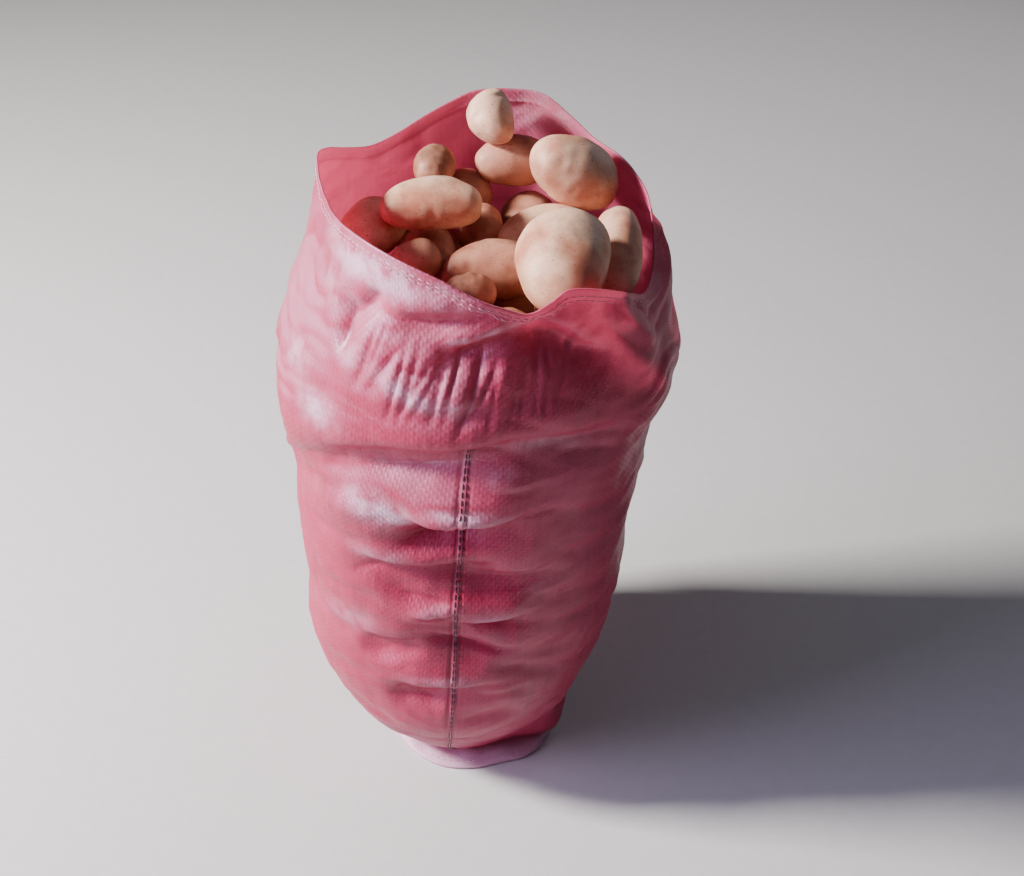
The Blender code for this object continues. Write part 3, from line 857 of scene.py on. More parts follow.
        # The dye is paled by the foot's dusting and by painted light
        pale = self.dust_and_light_share(nodes, cloth, place, patches)
        colour = nodes.cover(self.dye(nodes, tapes, patches), self.dust_and_light_colour, pale)
        crumple = nodes.mottle(place, self.crumple_mm, 4.0, roughness=0.55, distortion=0.6)
        crumpled = nodes.relief(crumple, self.crumple_relief_mm, 0.6)
        woven = nodes.relief(self.weave(nodes, tapes), self.tape_relief_mm, 0.7, crumpled)
        dull = nodes.remap(patches, (0.3, 0.7), (self.roughness - 0.07, self.roughness + 0.09))
        face = nodes.add(
            "BsdfPrincipled",
            {"Specular IOR Level": self.specular, "IOR": 1.49, "Specular Tint": linear(self.gloss_tint),
             "Sheen Weight": self.sheen, "Sheen Roughness": 0.45, "Sheen Tint": linear(self.sheen_tint),
             "Coat Weight": self.coat, "Coat Roughness": self.coat_roughness, "Coat IOR": 1.5},
            {"Base Color": colour, "Roughness": dull, "Normal": woven},
        )
        through = nodes.add("BsdfTranslucent", {"Color": linear(self.glow)}, {"Normal": crumpled})
        both = nodes.add("MixShader", {0: self.translucency}, {1: face.outputs[0], 2: through.outputs[0]})
        nodes.add("OutputMaterial", {}, {0: both.outputs[0]})
        return nodes.material


@dataclass(frozen=True)
class SpunThread:
    """Sewing thread: spun polypropylene, slightly hairy, so it looks matt and a little paler than the cloth."""

    name: str = "spun_thread"
    colour: str = "#E3AABD"
    shade: str = "#C47A94"
    twist_mm: float = 1.2
    twist_relief_mm: float = 0.2
    roughness: float = 0.7
    sheen: float = 0.3

    def make(self) -> bpy.types.Material:
        """Builds the material."""
        nodes = MaterialNodes(self.name)
        twist = nodes.mottle(nodes.object_place(), self.twist_mm, 2.0)
        colour = nodes.ramp(twist, (0.3, self.shade), (0.7, self.colour))
        return nodes.finish({"Roughness": self.roughness, "Sheen Weight": self.sheen},
                            {"Base Color": colour, "Normal": nodes.relief(twist, self.twist_relief_mm, 0.4)})


@dataclass(frozen=True)
class PotatoSkin:
    """The skin of a table potato: thin, pale buff and slightly waxy, washed but not brushed.

    It has fine dark breathing pores, a faint net where it has rubbed, warmer patches and a film of dry soil that
    stays in the eyes.
    """

    name: str = "potato_skin"
    pale: str = "#E6BA9C"
    warm: str = "#BC7A60"
    net: str = "#8F6648"
    soil: str = "#5E3D2A"
    pore_mm: float = 5.0
    pore_relief_mm: float = 0.3
    net_mm: float = 3.0
    patch_mm: float = 34.0
    film_mm: float = 54.4
    film_relief_mm: float = 0.25
    soil_share: float = 0.3
    roughness: float = 0.5
    soiled_roughness: float = 0.85

    def make(self) -> bpy.types.Material:
        """Builds the material."""
        nodes = MaterialNodes(self.name)
        place = nodes.object_place()
        skin = nodes.ramp(nodes.mottle(place, self.patch_mm, 3.0), (0.34, self.warm), (0.6, self.pale))
        edges = {"feature": "DISTANCE_TO_EDGE", "Scale": 1.0 / (self.net_mm * MM)}
        netting = nodes.add("TexVoronoi", edges, {"Vector": place})
        lines = nodes.remap(netting.outputs["Distance"], (0.0, 0.09), (0.22, 0.0))
        pores = nodes.add("TexVoronoi", {"Scale": 1.0 / (self.pore_mm * MM)}, {"Vector": place})
        spots = nodes.remap(pores.outputs["Distance"], (0.09, 0.15), (0.6, 0.0))
        film = nodes.mottle(place, self.film_mm, 6.0, roughness=0.62)
        edge = 0.66 - 0.22 * self.soil_share
        soiled = nodes.remap(film, (edge, edge + 0.12), (0.0, 0.35 + 0.4 * self.soil_share))
        colour = skin
        for over, share in ((self.net, lines), (self.soil, spots), (self.soil, soiled)):
            colour = nodes.cover(colour, over, share)
        dull = nodes.remap(soiled, (0.0, 1.0), (self.roughness, self.soiled_roughness))
        grain = nodes.relief(film, self.film_relief_mm, 0.35)
        pitted = nodes.relief(spots, self.pore_relief_mm, 0.5, grain, inwards=True)
        return nodes.finish(
            {"Subsurface Weight": 0.12, "Subsurface Radius": (0.9, 0.55, 0.3), "Subsurface Scale": 3.0 * MM,
             "IOR": 1.42},
            {"Base Color": colour, "Roughness": dull, "Normal": pitted},
        )


@dataclass(frozen=True)
class PaleFloor:
    """A painted studio floor: an even matt pale grey, faintly speckled."""

    name: str = "pale_floor"
    colour: str = "#CBCAC8"
    speckle: str = "#C8C7C5"
    speckle_mm: float = 1000.0 / 60.0

    def make(self) -> bpy.types.Material:
        """Builds the material."""
        nodes = MaterialNodes(self.name)
        speckles = nodes.mottle(nodes.object_place(), self.speckle_mm, 2.0)
        colour = nodes.ramp(speckles, (0.3, self.speckle), (0.7, self.colour))
        return nodes.finish({"Roughness": 0.8}, {"Base Color": colour})


@dataclass
class SackShape:
    """The shape of the filled sack's outer face, in millimetres."""

    shoulder: float = 480.0
    slope_step: float = 5.0
    lean_at_rim: float = 0.35
    turn_radius: float = 160.0
    seam_height: float = 5.0
    tuck_height: float = 9.0
    tuck_depth: float = 4.0
    relief_fade: float = 0.22
    fine_fade: float = 0.1
    sag: float = 0.55
    mouth_x: float = 12.0
    mouth_y: float = 5.0
    repeated: int = 3
    back_seed: int = 11
    back_folds: int = 16
    back_lumps: int = 12
    back_lowest: float = 90.0
    back_heights: float = 420.0
    back_edge: float = 115.0
    back_turn: float = 130.0
    back_spread: float = 0.382
    sections: SmoothTable = field(init=False)
    rim: SmoothTable = field(init=False)
    floor: SmoothTable = field(init=False)
    folds: list[Fold] = field(init=False)
    lumps: list[Lump] = field(init=False)

    def __post_init__(self) -> None:
        """Reads the tables once."""
        self.sections = SmoothTable(SECTIONS)
        rows = sorted(
            (math.degrees(math.atan2(point.x - self.mouth_x, -(point.y - self.mouth_y))),) + tuple(point)
            for point in RIM
        )
        before = [(row[0] - 360.0,) + row[1:] for row in rows[-self.repeated:]]
        after = [(row[0] + 360.0,) + row[1:] for row in rows[:self.repeated]]
        self.rim = SmoothTable(before + rows + after)
        self.floor = SmoothTable(FLOOR_OUTLINE)
        back_folds, back_lumps = self.back_relief()
        self.folds = list(MAIN_FOLDS) + back_folds
        self.lumps = list(LUMPS) + back_lumps

    def back_relief(self) -> tuple[list[Fold], list[Lump]]:
        """The folds and lumps of the side that faces away, spread evenly with chance differences.

        Returns:
            The folds and the lumps.
        """
        chance = random.Random(self.back_seed)
        folds = []
        for index in range(self.back_folds):
            height = self.back_lowest + self.back_heights * index / self.back_folds
            folds.append(Fold(
                direction=self.back_edge + self.back_turn * ((index * self.back_spread) % 1.0),
                height=height + chance.uniform(-10.0, 10.0),
                tilt=chance.uniform(-16.0, 16.0),
                half_length=chance.uniform(36.0, 66.0),
                half_width=chance.uniform(16.0, 21.0),
                dent=chance.uniform(2.5, 5.5),
                step=chance.uniform(1.0, 4.0),
            ))
        lumps = []
        for index in range(self.back_lumps):
            lumps.append(Lump(
                direction=self.back_edge + self.back_turn * ((1.0 - index * self.back_spread) % 1.0),
                height=self.back_lowest + self.back_heights * (index + 0.5) / self.back_lumps,
                half_width=chance.uniform(34.0, 48.0),
                half_height=chance.uniform(28.0, 42.0),
                rise=chance.uniform(2.5, 5.0),
            ))
        return folds, lumps

    def rim_height(self, direction: np.ndarray) -> np.ndarray:
        """The height of the mouth's edge at directions."""
        return self.rim.read(turn_between(direction, 0.0))[..., 2]

    def section_place(self, direction: np.ndarray, height: np.ndarray) -> np.ndarray:
        """Places of the smooth wall up to the shoulder.

        Args:
            direction: Directions in degrees.
            height: Heights, of the same shape.

        Returns:
            The places, with x, y and z along a new last axis.
        """
        centre_x, centre_y, half_width, half_depth, squareness = np.moveaxis(self.sections.read(height), -1, 0)
        angle = np.radians(direction)
        across = np.sin(angle)
        along = -np.cos(angle)
        pull = (np.abs(across) ** squareness + np.abs(along) ** squareness) ** (-1.0 / squareness)
        return np.stack([centre_x + half_width * across * pull, centre_y + half_depth * along * pull,
                         np.broadcast_to(height, direction.shape)], axis=-1)

    def smooth_wall(self, direction: np.ndarray, level: np.ndarray) -> np.ndarray:
        """The wall without its folds.

        Args:
            direction: Directions in degrees.
            level: Levels from 0 to 2, of the same shape.

        Returns:
            The places, along a new last axis.
        """
        below_shoulder = self.section_place(direction, np.minimum(level, 1.0) * self.shoulder)
        flat = np.zeros_like(direction)
        low = self.section_place(direction, flat + self.shoulder)
        below = self.section_place(direction, flat + self.shoulder - self.slope_step)
        rim = self.rim.read(turn_between(direction, 0.0))
        span = (rim[..., 2] - self.shoulder)[..., None]
        t = np.clip(level - 1.0, 0.0, 1.0)[..., None]
        above = hermite(t, low, (low - below) / self.slope_step * span, rim, (rim - low) * self.lean_at_rim)
        above[..., 2] = self.shoulder + (span * t)[..., 0]
        return np.where((level <= 1.0)[..., None], below_shoulder, above)

    def lie_in(self, row: Fold | LightPatch, direction: np.ndarray, height: np.ndarray) -> tuple[np.ndarray, np.ndarray]:
        """Where places lie in a tilted fold or patch.

        Args:
            row: The fold or patch.
            direction: Directions in degrees.
            height: Heights, of the same shape.

        Returns:
            The places along it and across it, as shares of its half length and half width.
        """
        along = np.radians(turn_between(direction, row.direction)) * self.turn_radius
        up = height - row.height
        tilt = math.radians(row.tilt)
        run = (along * math.cos(tilt) + up * math.sin(tilt)) / row.half_length
        across = (up * math.cos(tilt) - along * math.sin(tilt)) / row.half_width
        return run, across

    def fold_moves(self, fold: Fold, direction: np.ndarray, height: np.ndarray,
                   crispness: float = 2.0) -> tuple[np.ndarray, np.ndarray]:
        """How a fold moves the wall.

        Args:
            fold: The fold.
            direction: Directions in degrees.
            height: Heights, of the same shape.
            crispness: The power of the profile: 2 is a round valley, and less a sharper one.

        Returns:
            The moves outwards, and the moves down where the ledge hangs over.
        """
        run, across = self.lie_in(fold, direction, height)
        reach = np.exp(-(run ** 4))
        dent = -fold.dent * np.exp(-(np.abs(across) ** crispness))
        step = fold.step * across * np.exp(0.5 - 0.5 * across ** 2)
        hang = self.sag * fold.step * np.exp(-2.0 * (across - 0.35) ** 2)
        return (dent + step) * reach, hang * reach

    def lump_rise(self, lump: Lump, direction: np.ndarray, height: np.ndarray) -> np.ndarray:
        """How far a lump moves the wall outwards at directions and heights."""
        along = np.radians(turn_between(direction, lump.direction)) * self.turn_radius / lump.half_width
        up = (height - lump.height) / lump.half_height
        return lump.rise * np.exp(-(along ** 2 + up ** 2))

    def main_rise(self, direction: np.ndarray, height: np.ndarray) -> tuple[np.ndarray, np.ndarray]:
        """The relief of the main folds and lumps.

        Args:
            direction: Directions in degrees.
            height: Heights, of the same shape.

        Returns:
            The moves outwards and the moves down.
        """
        rise = np.zeros_like(direction)
        drop = np.zeros_like(direction)
        for fold in self.folds:
            out, down = self.fold_moves(fold, direction, height)
            rise += out
            drop += down
        for lump in self.lumps:
            rise += self.lump_rise(lump, direction, height)
        return rise, drop


@dataclass
class Wrinkles:
    """The sharper creases and the crumple of the cloth between the main folds, in millimetres."""

    shape: SackShape
    seed: int = 5
    crispness: float = 1.4
    crease_spacing: float = 2.55
    crease_first: float = -31.0
    crease_count: int = 23
    pleat_first: float = -44.0
    pleat_spacing: float = 1.9
    pleat_count: int = 34
    smooth_front: float = -4.0
    smooth_half: float = 38.0
    smooth_fade: float = 30.0
    roll: float = 3.2
    valleys: float = 1.6
    front_valleys: float = 1.9
    valley_level: float = 0.35
    valley_power: float = 0.75
    small: float = 0.7

    def table(self) -> list[Fold]:
        """The fine folds: those set one by one, the steep creases of the belly and the waist's small pleats.

        Returns:
            The folds.
        """
        chance = random.Random(self.seed)
        folds = list(FINE_FOLDS)
        for index in range(self.crease_count):
            direction = self.crease_first + index * self.crease_spacing + chance.uniform(-0.9, 0.9)
            belly = 1.0 - ((direction + 2.0) / 40.0) ** 2
            folds.append(Fold(
                direction=direction,
                height=558.0 - 12.0 * belly + chance.uniform(-10.0, 10.0),
                tilt=70.0 + chance.uniform(-9.0, 9.0),
                half_length=13.0 + 14.0 * belly + chance.uniform(-5.0, 8.0),
                half_width=chance.uniform(1.6, 3.0),
                dent=chance.uniform(0.9, 2.9),
                step=chance.uniform(-0.7, 0.7),
            ))
        for index in range(self.pleat_count):
            direction = self.pleat_first + index * self.pleat_spacing + chance.uniform(-0.5, 0.5)
            folds.append(Fold(
                direction=direction,
                height=486.0 + 0.5 * direction + chance.uniform(-8.0, 8.0),
                tilt=86.0 + chance.uniform(-6.0, 6.0),
                half_length=chance.uniform(9.0, 17.0),
                half_width=chance.uniform(1.5, 2.2),
                dent=chance.uniform(0.2, 0.6),
                step=0.0,
            ))
        return folds

    def rise(self, direction: np.ndarray, height: np.ndarray) -> tuple[np.ndarray, np.ndarray]:
        """The relief of all the fine folds and of the crumple.

        Args:
            direction: Directions in degrees.
            height: Heights, of the same shape.

        Returns:
            The moves outwards and the moves down.
        """
        rise = np.zeros_like(direction)
        drop = np.zeros_like(direction)
        for fold in self.table():
            out, down = self.shape.fold_moves(fold, direction, height, self.crispness)
            rise += out
            drop += down
        return rise + self.crumple(direction, height), drop

    def crumple(self, direction: np.ndarray, height: np.ndarray) -> np.ndarray:
        """The small chance folds of cloth that has been pushed together, sharper along their valleys.

        Args:
            direction: Directions in degrees.
            height: Heights, of the same shape.

        Returns:
            The moves outwards.
        """
        places = outward(direction.ravel()) * self.shape.turn_radius
        places[:, 2] = np.broadcast_to(height, direction.shape).ravel()
        off_front = np.abs(turn_between(direction, self.smooth_front)) - self.smooth_half
        away = ease(off_front / self.smooth_fade).ravel()
        out = np.zeros(len(places))
        for index, place in enumerate(places):
            warp = self.chance_height(place, 90.0, 60.0, 40.0)
            roll = self.chance_height(place, 85.0, 26.0, 1.6 * warp)
            valley = self.chance_height(place, 46.0, 15.0, 2.2 * warp + 9.0)
            sharp = abs(valley) ** self.valley_power - self.valley_level
            out[index] = (away[index] * (self.roll * roll + self.valleys * sharp) + self.front_valleys * sharp
                          + self.small * self.chance_height(place, 17.0, 13.0, -7.0))
        return out.reshape(direction.shape)

    def chance_height(self, place: np.ndarray, width: float, height: float, shift: float) -> float:
        """A chance height from -1 to 1 at a place, in swells of a width and height, and shifted up by some swells."""
        return noise.noise(Vector((place[0] / width, place[1] / width, place[2] / height + shift)))


@dataclass
class SackCloth:
    """The sack's one piece of cloth: its outer face, the turned hem at the mouth and its inner face."""

    shape: SackShape
    material: bpy.types.Material
    inner_material: bpy.types.Material
    columns: int = 340
    crowding: float = 0.42
    edge_heights: tuple[float, ...] = (0.0, 1.2, 2.8, 4.2)
    hem_parts: tuple[float, ...] = (0.05, 0.14, 0.35, 0.6, 0.85, 1.0)
    foot_fade: float = 14.0
    lower_rows: int = 138
    upper_rows: int = 44
    flange_rows: int = 6
    thickness: float = 0.8
    hem_height: float = 12.0
    hem_rise: float = 0.7
    inner_fine_rows: int = 42
    inner_step: int = 3
    inner_lowest: int = 12
    inner_foot: float = 0.9
    inner_gap: float = 1.6
    welt: float = 0.3
    welt_half: float = 4.4
    left_groove: float = -1.9
    right_groove: float = -0.9
    gather: float = 0.175
    gather_pitch: float = 7.0
    seam_top: float = 505.0
    seam_fade: float = 45.0
    edge_round: float = 2.2
    flange_flatness: float = 0.9
    flange_ripple: float = 0.8
    flange_ripples: float = 17.0
    off_cloth: float = 2.0
    cut_width: float = 1.04
    cut_length: float = 0.85

    def directions(self) -> np.ndarray:
        """Directions of the columns, closer together at the front where most of the folds are."""
        turn = 2.0 * math.pi * np.arange(self.columns) / self.columns
        return np.degrees(turn - self.crowding * np.sin(turn))

    def seam_line(self, height: np.ndarray) -> np.ndarray:
        """The direction of the lengthwise seam, which wanders a little, at heights."""
        return SmoothTable(SEAM_LINE).read(height)[..., 0]

    def outer_face(self) -> tuple[np.ndarray, np.ndarray, np.ndarray]:
        """The outer face as rings of places.

        Returns:
            The places by row and column, and the direction and height of each before its folds.
        """
        directions = self.directions()
        span = self.shape.rim_height(directions) - self.shape.shoulder
        seam, tuck, shoulder = self.shape.seam_height, self.shape.tuck_height, self.shape.shoulder
        low_heights = np.concatenate([
            np.array(self.edge_heights + (seam,)),
            seam + (tuck - seam) * np.arange(1, self.flange_rows + 1) / self.flange_rows,
            tuck + (shoulder - tuck) * np.arange(1, self.lower_rows) / self.lower_rows,
        ])
        levels = [np.full_like(directions, height / shoulder) for height in low_heights]
        hem = 1.0 - self.hem_height / span
        for row in range(self.upper_rows + 1):
            levels.append(1.0 + hem * row / self.upper_rows)
        hem_start = len(levels)
        for part in self.hem_parts:
            levels.append(1.0 + hem + (1.0 - hem) * part)
        level = np.array(levels)
        direction = np.broadcast_to(directions, level.shape).copy()
        place = self.shape.smooth_wall(direction, level)
        height = place[..., 2].copy()

        main, main_drop = self.shape.main_rise(direction, height)
        fine, fine_drop = Wrinkles(self.shape).rise(direction, height)
        main_share = ease((2.0 - level) / self.shape.relief_fade)
        fine_share = ease((2.0 - level) / self.shape.fine_fade) * 0.85 + 0.15
        foot = ease((height - tuck) / self.foot_fade)
        rise = main * main_share + fine * fine_share * foot
        rise -= np.where(height <= tuck, self.shape.tuck_depth, 0.0)
        rise += self.seam_rise(direction, height)
        drop = (main_drop * main_share + fine_drop * fine_share) * foot
        rise[hem_start + 1:] += self.hem_rise
        place = place + outward(direction) * rise[..., None]
        place[..., 2] -= drop
        self.add_flange(place, direction, height)
        return place, direction, height

    def seam_rise(self, direction: np.ndarray, height: np.ndarray) -> np.ndarray:
        """The welt of the lengthwise seam, with a groove along each edge.

        Args:
            direction: Directions in degrees.
            height: Heights, of the same shape.

        Returns:
            The moves outwards.
        """
        across = np.radians(turn_between(direction - self.seam_line(height), 0.0)) * self.shape.turn_radius
        welt = self.welt * ease((self.welt_half - np.abs(across)) / 1.6)
        grooves = (self.left_groove * np.exp(-((across + 3.4) / 1.4) ** 2)
                   + self.right_groove * np.exp(-((across - 3.6) / 1.2) ** 2))
        gather = self.gather * np.cos(height * 2.0 * math.pi / self.gather_pitch) * np.exp(-(across / 7.0) ** 2)
        below_top = ease((self.seam_top - height) / self.seam_fade)
        return (welt + grooves + gather) * (0.12 + 0.88 * below_top)

    def add_flange(self, place: np.ndarray, direction: np.ndarray, height: np.ndarray) -> None:
        """Turns the lowest rows out into the flat sewn seam that lies on the floor.

        Args:
            place: The places, which this changes.
            direction: Directions in degrees.
            height: Heights before the folds.
        """
        reach = self.shape.floor.read(turn_between(direction, 0.0))[..., 0]
        edge = outward(direction) * reach[..., None]
        seam, tuck = self.shape.seam_height, self.shape.tuck_height
        low = height <= seam
        bulge = np.sqrt(np.clip(1.0 - (height / (0.5 * seam) - 1.0) ** 2, 0.0, 1.0))
        rounded = edge * (1.0 - (self.edge_round * (1.0 - bulge) / reach)[..., None])
        rounded[..., 2] = height * self.flange_flatness
        place[low] = rounded[low]
        rows = np.where((height[:, 0] > seam) & (height[:, 0] < tuck))[0]
        first, last = rows[0] - 1, rows[-1] + 1
        for row in rows:
            share = (row - first) / (last - first)
            arch = math.sin(math.pi * share)
            place[row] = place[first] * (1.0 - share) + place[last] * share
            ripple = self.flange_ripple * np.sin(np.radians(direction[row]) * self.flange_ripples)
            place[row, :, 2] += ripple * arch + arch

    def normals(self, place: np.ndarray) -> np.ndarray:
        """Outward unit vectors of the face at each place.

        Args:
            place: The places by row and column.

        Returns:
            The vectors.
        """
        around = np.roll(place, -1, axis=1) - np.roll(place, 1, axis=1)
        up = np.gradient(place, axis=0)
        out = np.cross(around, up)
        return out / np.maximum(np.linalg.norm(out, axis=-1, keepdims=True), 1e-9)

    def inner_face(self, place: np.ndarray) -> tuple[np.ndarray, list[int]]:
        """The inner face: fine near the mouth, where it shows, and coarser below.

        Args:
            place: The outer face's places.

        Returns:
            The inner places by row and column from the mouth down, and the outer row behind each.
        """
        total = len(place)
        fine = list(range(total - 1, total - 1 - self.inner_fine_rows, -1))
        coarse = list(range(fine[-1] - self.inner_step, self.inner_lowest, -self.inner_step))
        normal = self.normals(place)
        close = place - normal * self.thickness
        hem = len(self.hem_parts)
        close[-hem:] -= normal[-hem:] * self.hem_rise
        radius = np.linalg.norm(place[..., :2], axis=-1)
        least = radius.copy()
        for shift in range(-self.inner_step - 1, self.inner_step + 2):
            rows = np.clip(np.arange(total) + shift, 0, total - 1)
            for turn in (-1, 0, 1):
                least = np.minimum(least, np.roll(radius[rows], turn, axis=1))
        share = (least - self.inner_gap) / radius
        eroded = place.copy()
        eroded[..., :2] *= share[..., None]
        inner = np.concatenate([close[fine], eroded[coarse]])
        return inner, fine + coarse

    def build(self) -> bpy.types.Object:
        """Makes the cloth as one closed thin sheet.

        Returns:
            The sack.
        """
        outer, direction, height = self.outer_face()
        inner, behind = self.inner_face(outer)
        inner_floor = inner[-1].copy()
        inner_floor[:, :2] *= self.inner_foot
        inner_floor[:, 2] = self.thickness
        rows = np.concatenate([outer, inner, inner_floor[None]])
        middles = np.array([[0.0, 0.0, 0.0], [0.0, 0.0, self.thickness]])
        points = np.concatenate([rows.reshape(-1, 3), middles])
        count = self.columns
        faces = closed_faces(len(rows), count, 0, (len(points) - 2, len(points) - 1))
        sack = make_piece("sack_cloth", points * MM, faces, self.material)
        sack.data.materials.append(self.inner_material)
        inside = np.zeros(len(sack.data.polygons), dtype=np.int32)
        inside[len(outer) * count:] = 1
        sack.data.polygons.foreach_set("material_index", inside)
        self.map_cloth(sack, outer, direction, behind)
        # The attribute holds painted light: highlights on the outer face and sunlight on the inner face
        painted_light_level = [self.painted_light_share(PAINTED_HIGHLIGHTS, direction, height).ravel(),
                 self.painted_light_share(INNER_PAINTED_SUNLIGHT, direction[behind], height[behind]).ravel()]
        values = np.zeros(len(sack.data.vertices), dtype=np.float32)
        values[:sum(len(part) for part in painted_light_level)] = np.concatenate(painted_light_level)
        sack.data.attributes.new(name="painted_light", type="FLOAT", domain="POINT").data.foreach_set("value", values)
        return sack

    def painted_light_share(self, patches: Sequence[LightPatch], direction: np.ndarray, height: np.ndarray) -> np.ndarray:
        """How much painted light the cloth takes at each place, for the attribute that the finish reads.

        Args:
            patches: The patches of painted light.
            direction: The direction of each place.
            height: Its height before the folds.

        Returns:
            From 0 to 1 at each place.
        """
        painted_light_level = np.zeros_like(direction)
        for patch in patches:
            run, across = self.shape.lie_in(patch, direction, height)
            painted_light_level = np.maximum(painted_light_level, patch.strength * np.exp(-(run ** 2 + across ** 2)))
        return painted_light_level

    def sewn_lines(self) -> dict[str, np.ndarray]:
        """Where the sack is sewn: round the hem, down the lengthwise seam and along the bottom seam's flange.

        Returns:
            Places just off the cloth along each line of stitches, by its name.
        """
        lines = {}
        around = np.linspace(-180.0, 180.0, 600)
        for name, depth in (("hem_stitches_lower", 10.5), ("hem_stitches_upper", 6.5)):
            level = 2.0 - depth / (self.shape.rim_height(around) - self.shape.shoulder)
            lines[name] = self.shape.smooth_wall(around, level) + outward(around) * self.off_cloth
        heights = np.linspace(24.0, 488.0, 400)
        for name, shift in (("length_seam_stitches_left", -1.4), ("length_seam_stitches_right", 1.6)):
            direction = self.seam_line(heights) + math.degrees(shift / self.shape.turn_radius)
            rise, _ = self.shape.main_rise(direction, heights)
            lines[name] = self.shape.section_place(direction, heights)
            lines[name] += outward(direction) * (rise + self.off_cloth)[:, None]
        front = np.linspace(-75.0, 85.0, 300)
        foot = outward(front) * (self.shape.floor.read(front)[:, 0] - 6.0)[:, None]
        foot[:, 2] = 7.0
        lines["bottom_seam_stitches"] = foot
        return lines

    def map_cloth(self, sack: bpy.types.Object, outer: np.ndarray, direction: np.ndarray,
                  behind: list[int]) -> None:
        """Gives each corner its place on the cut cloth, in metres.

        Args:
            sack: The sack.
            outer: The outer face's places.
            direction: The direction of each.
            behind: The outer row behind each inner row.
        """
        rises = np.linalg.norm(np.diff(outer, axis=0), axis=-1).mean(axis=1)
        up = np.concatenate([[0.0], np.cumsum(rises)]) * MM
        around = direction[0] / 360.0 * self.cut_width
        across_rows = list(range(len(outer))) + behind + [behind[-1]]
        u = np.concatenate([np.tile(around, len(across_rows)), [0.0, 0.0]])
        v = np.concatenate([np.repeat(up[across_rows], self.columns), [0.0, 0.0]])
        mesh = sack.data
        corners = np.empty(len(mesh.loops), dtype=np.int64)
        mesh.loops.foreach_get("vertex_index", corners)
        wide = u[corners]
        starts = np.empty(len(mesh.polygons), dtype=np.int64)
        totals = np.empty(len(mesh.polygons), dtype=np.int64)
        mesh.polygons.foreach_get("loop_start", starts)
        mesh.polygons.foreach_get("loop_total", totals)
        most = np.repeat(np.maximum.reduceat(wide, starts), totals)
        wide = np.where(most - wide > 0.5 * self.cut_width, wide + self.cut_width, wide)
        layer = mesh.uv_layers.new(name="cloth")
        layer.uv.foreach_set("vector", np.stack([wide, v[corners]], axis=-1).astype(np.float32).ravel())


@dataclass
class Stitching:
    """Lines of running stitches that lie on the sack's cloth, in millimetres."""

    material: bpy.types.Material
    pitch: float = 7.0
    stitch_length: float = 5.8
    diameter: float = 0.8
    sides: int = 6
    segments: int = 5

    def follow(self, sack: bpy.types.Object, line: np.ndarray) -> tuple[np.ndarray, np.ndarray]:
        """Lays points on the cloth.

        Args:
            sack: The sack.
            line: Places near the cloth.

        Returns:
            The places on the cloth and its outward vectors there.
        """
        places, normals = [], []
        for point in line:
            _, near, normal, _ = sack.closest_point_on_mesh(Vector(point) * MM)
            places.append(np.array(near) / MM)
            normals.append(np.array(normal))
        return np.array(places), np.array(normals)

    def build(self, sack: bpy.types.Object, name: str, line: np.ndarray) -> bpy.types.Object:
        """Sews one line.

        Args:
            sack: The sack.
            name: The piece's name.
            line: Places along the line, close together.

        Returns:
            The piece.
        """
        places, normals = self.follow(sack, line)
        run = np.concatenate([[0.0], np.cumsum(np.linalg.norm(np.diff(places, axis=0), axis=1))])
        points, faces = [], []
        for index in range(int(run[-1] / self.pitch)):
            start = len(points)
            spots = index * self.pitch + self.stitch_length * np.linspace(0.0, 1.0, self.segments)
            middle = np.stack([np.interp(spots, run, places[:, axis]) for axis in range(3)], axis=-1)
            normal = np.stack([np.interp(spots, run, normals[:, axis]) for axis in range(3)], axis=-1)
            normal /= np.linalg.norm(normal, axis=1, keepdims=True)
            ahead = np.gradient(middle, axis=0)
            ahead /= np.maximum(np.linalg.norm(ahead, axis=1, keepdims=True), 1e-9)
            side = np.cross(ahead, normal)
            for part in range(self.segments):
                share = part / (self.segments - 1)
                thick = 0.5 * self.diameter * (0.35 + 0.65 * math.sin(math.pi * (0.12 + 0.76 * share)))
                lift = 0.45 * self.diameter * math.sin(math.pi * share) - 0.1
                for corner in range(self.sides):
                    angle = 2.0 * math.pi * corner / self.sides
                    points.append(middle[part] + normal[part] * (lift + thick * math.sin(angle))
                                  + side[part] * thick * math.cos(angle))
            for part in range(self.segments - 1):
                for corner in range(self.sides):
                    after = (corner + 1) % self.sides
                    low, high = start + part * self.sides, start + (part + 1) * self.sides
                    faces.append((low + after, low + corner, high + corner, high + after))
            faces.append(tuple(start + corner for corner in range(self.sides)))
            end = start + (self.segments - 1) * self.sides
            faces.append(tuple(end + corner for corner in reversed(range(self.sides))))
        return make_piece(name, np.array(points) * MM, faces, self.material)


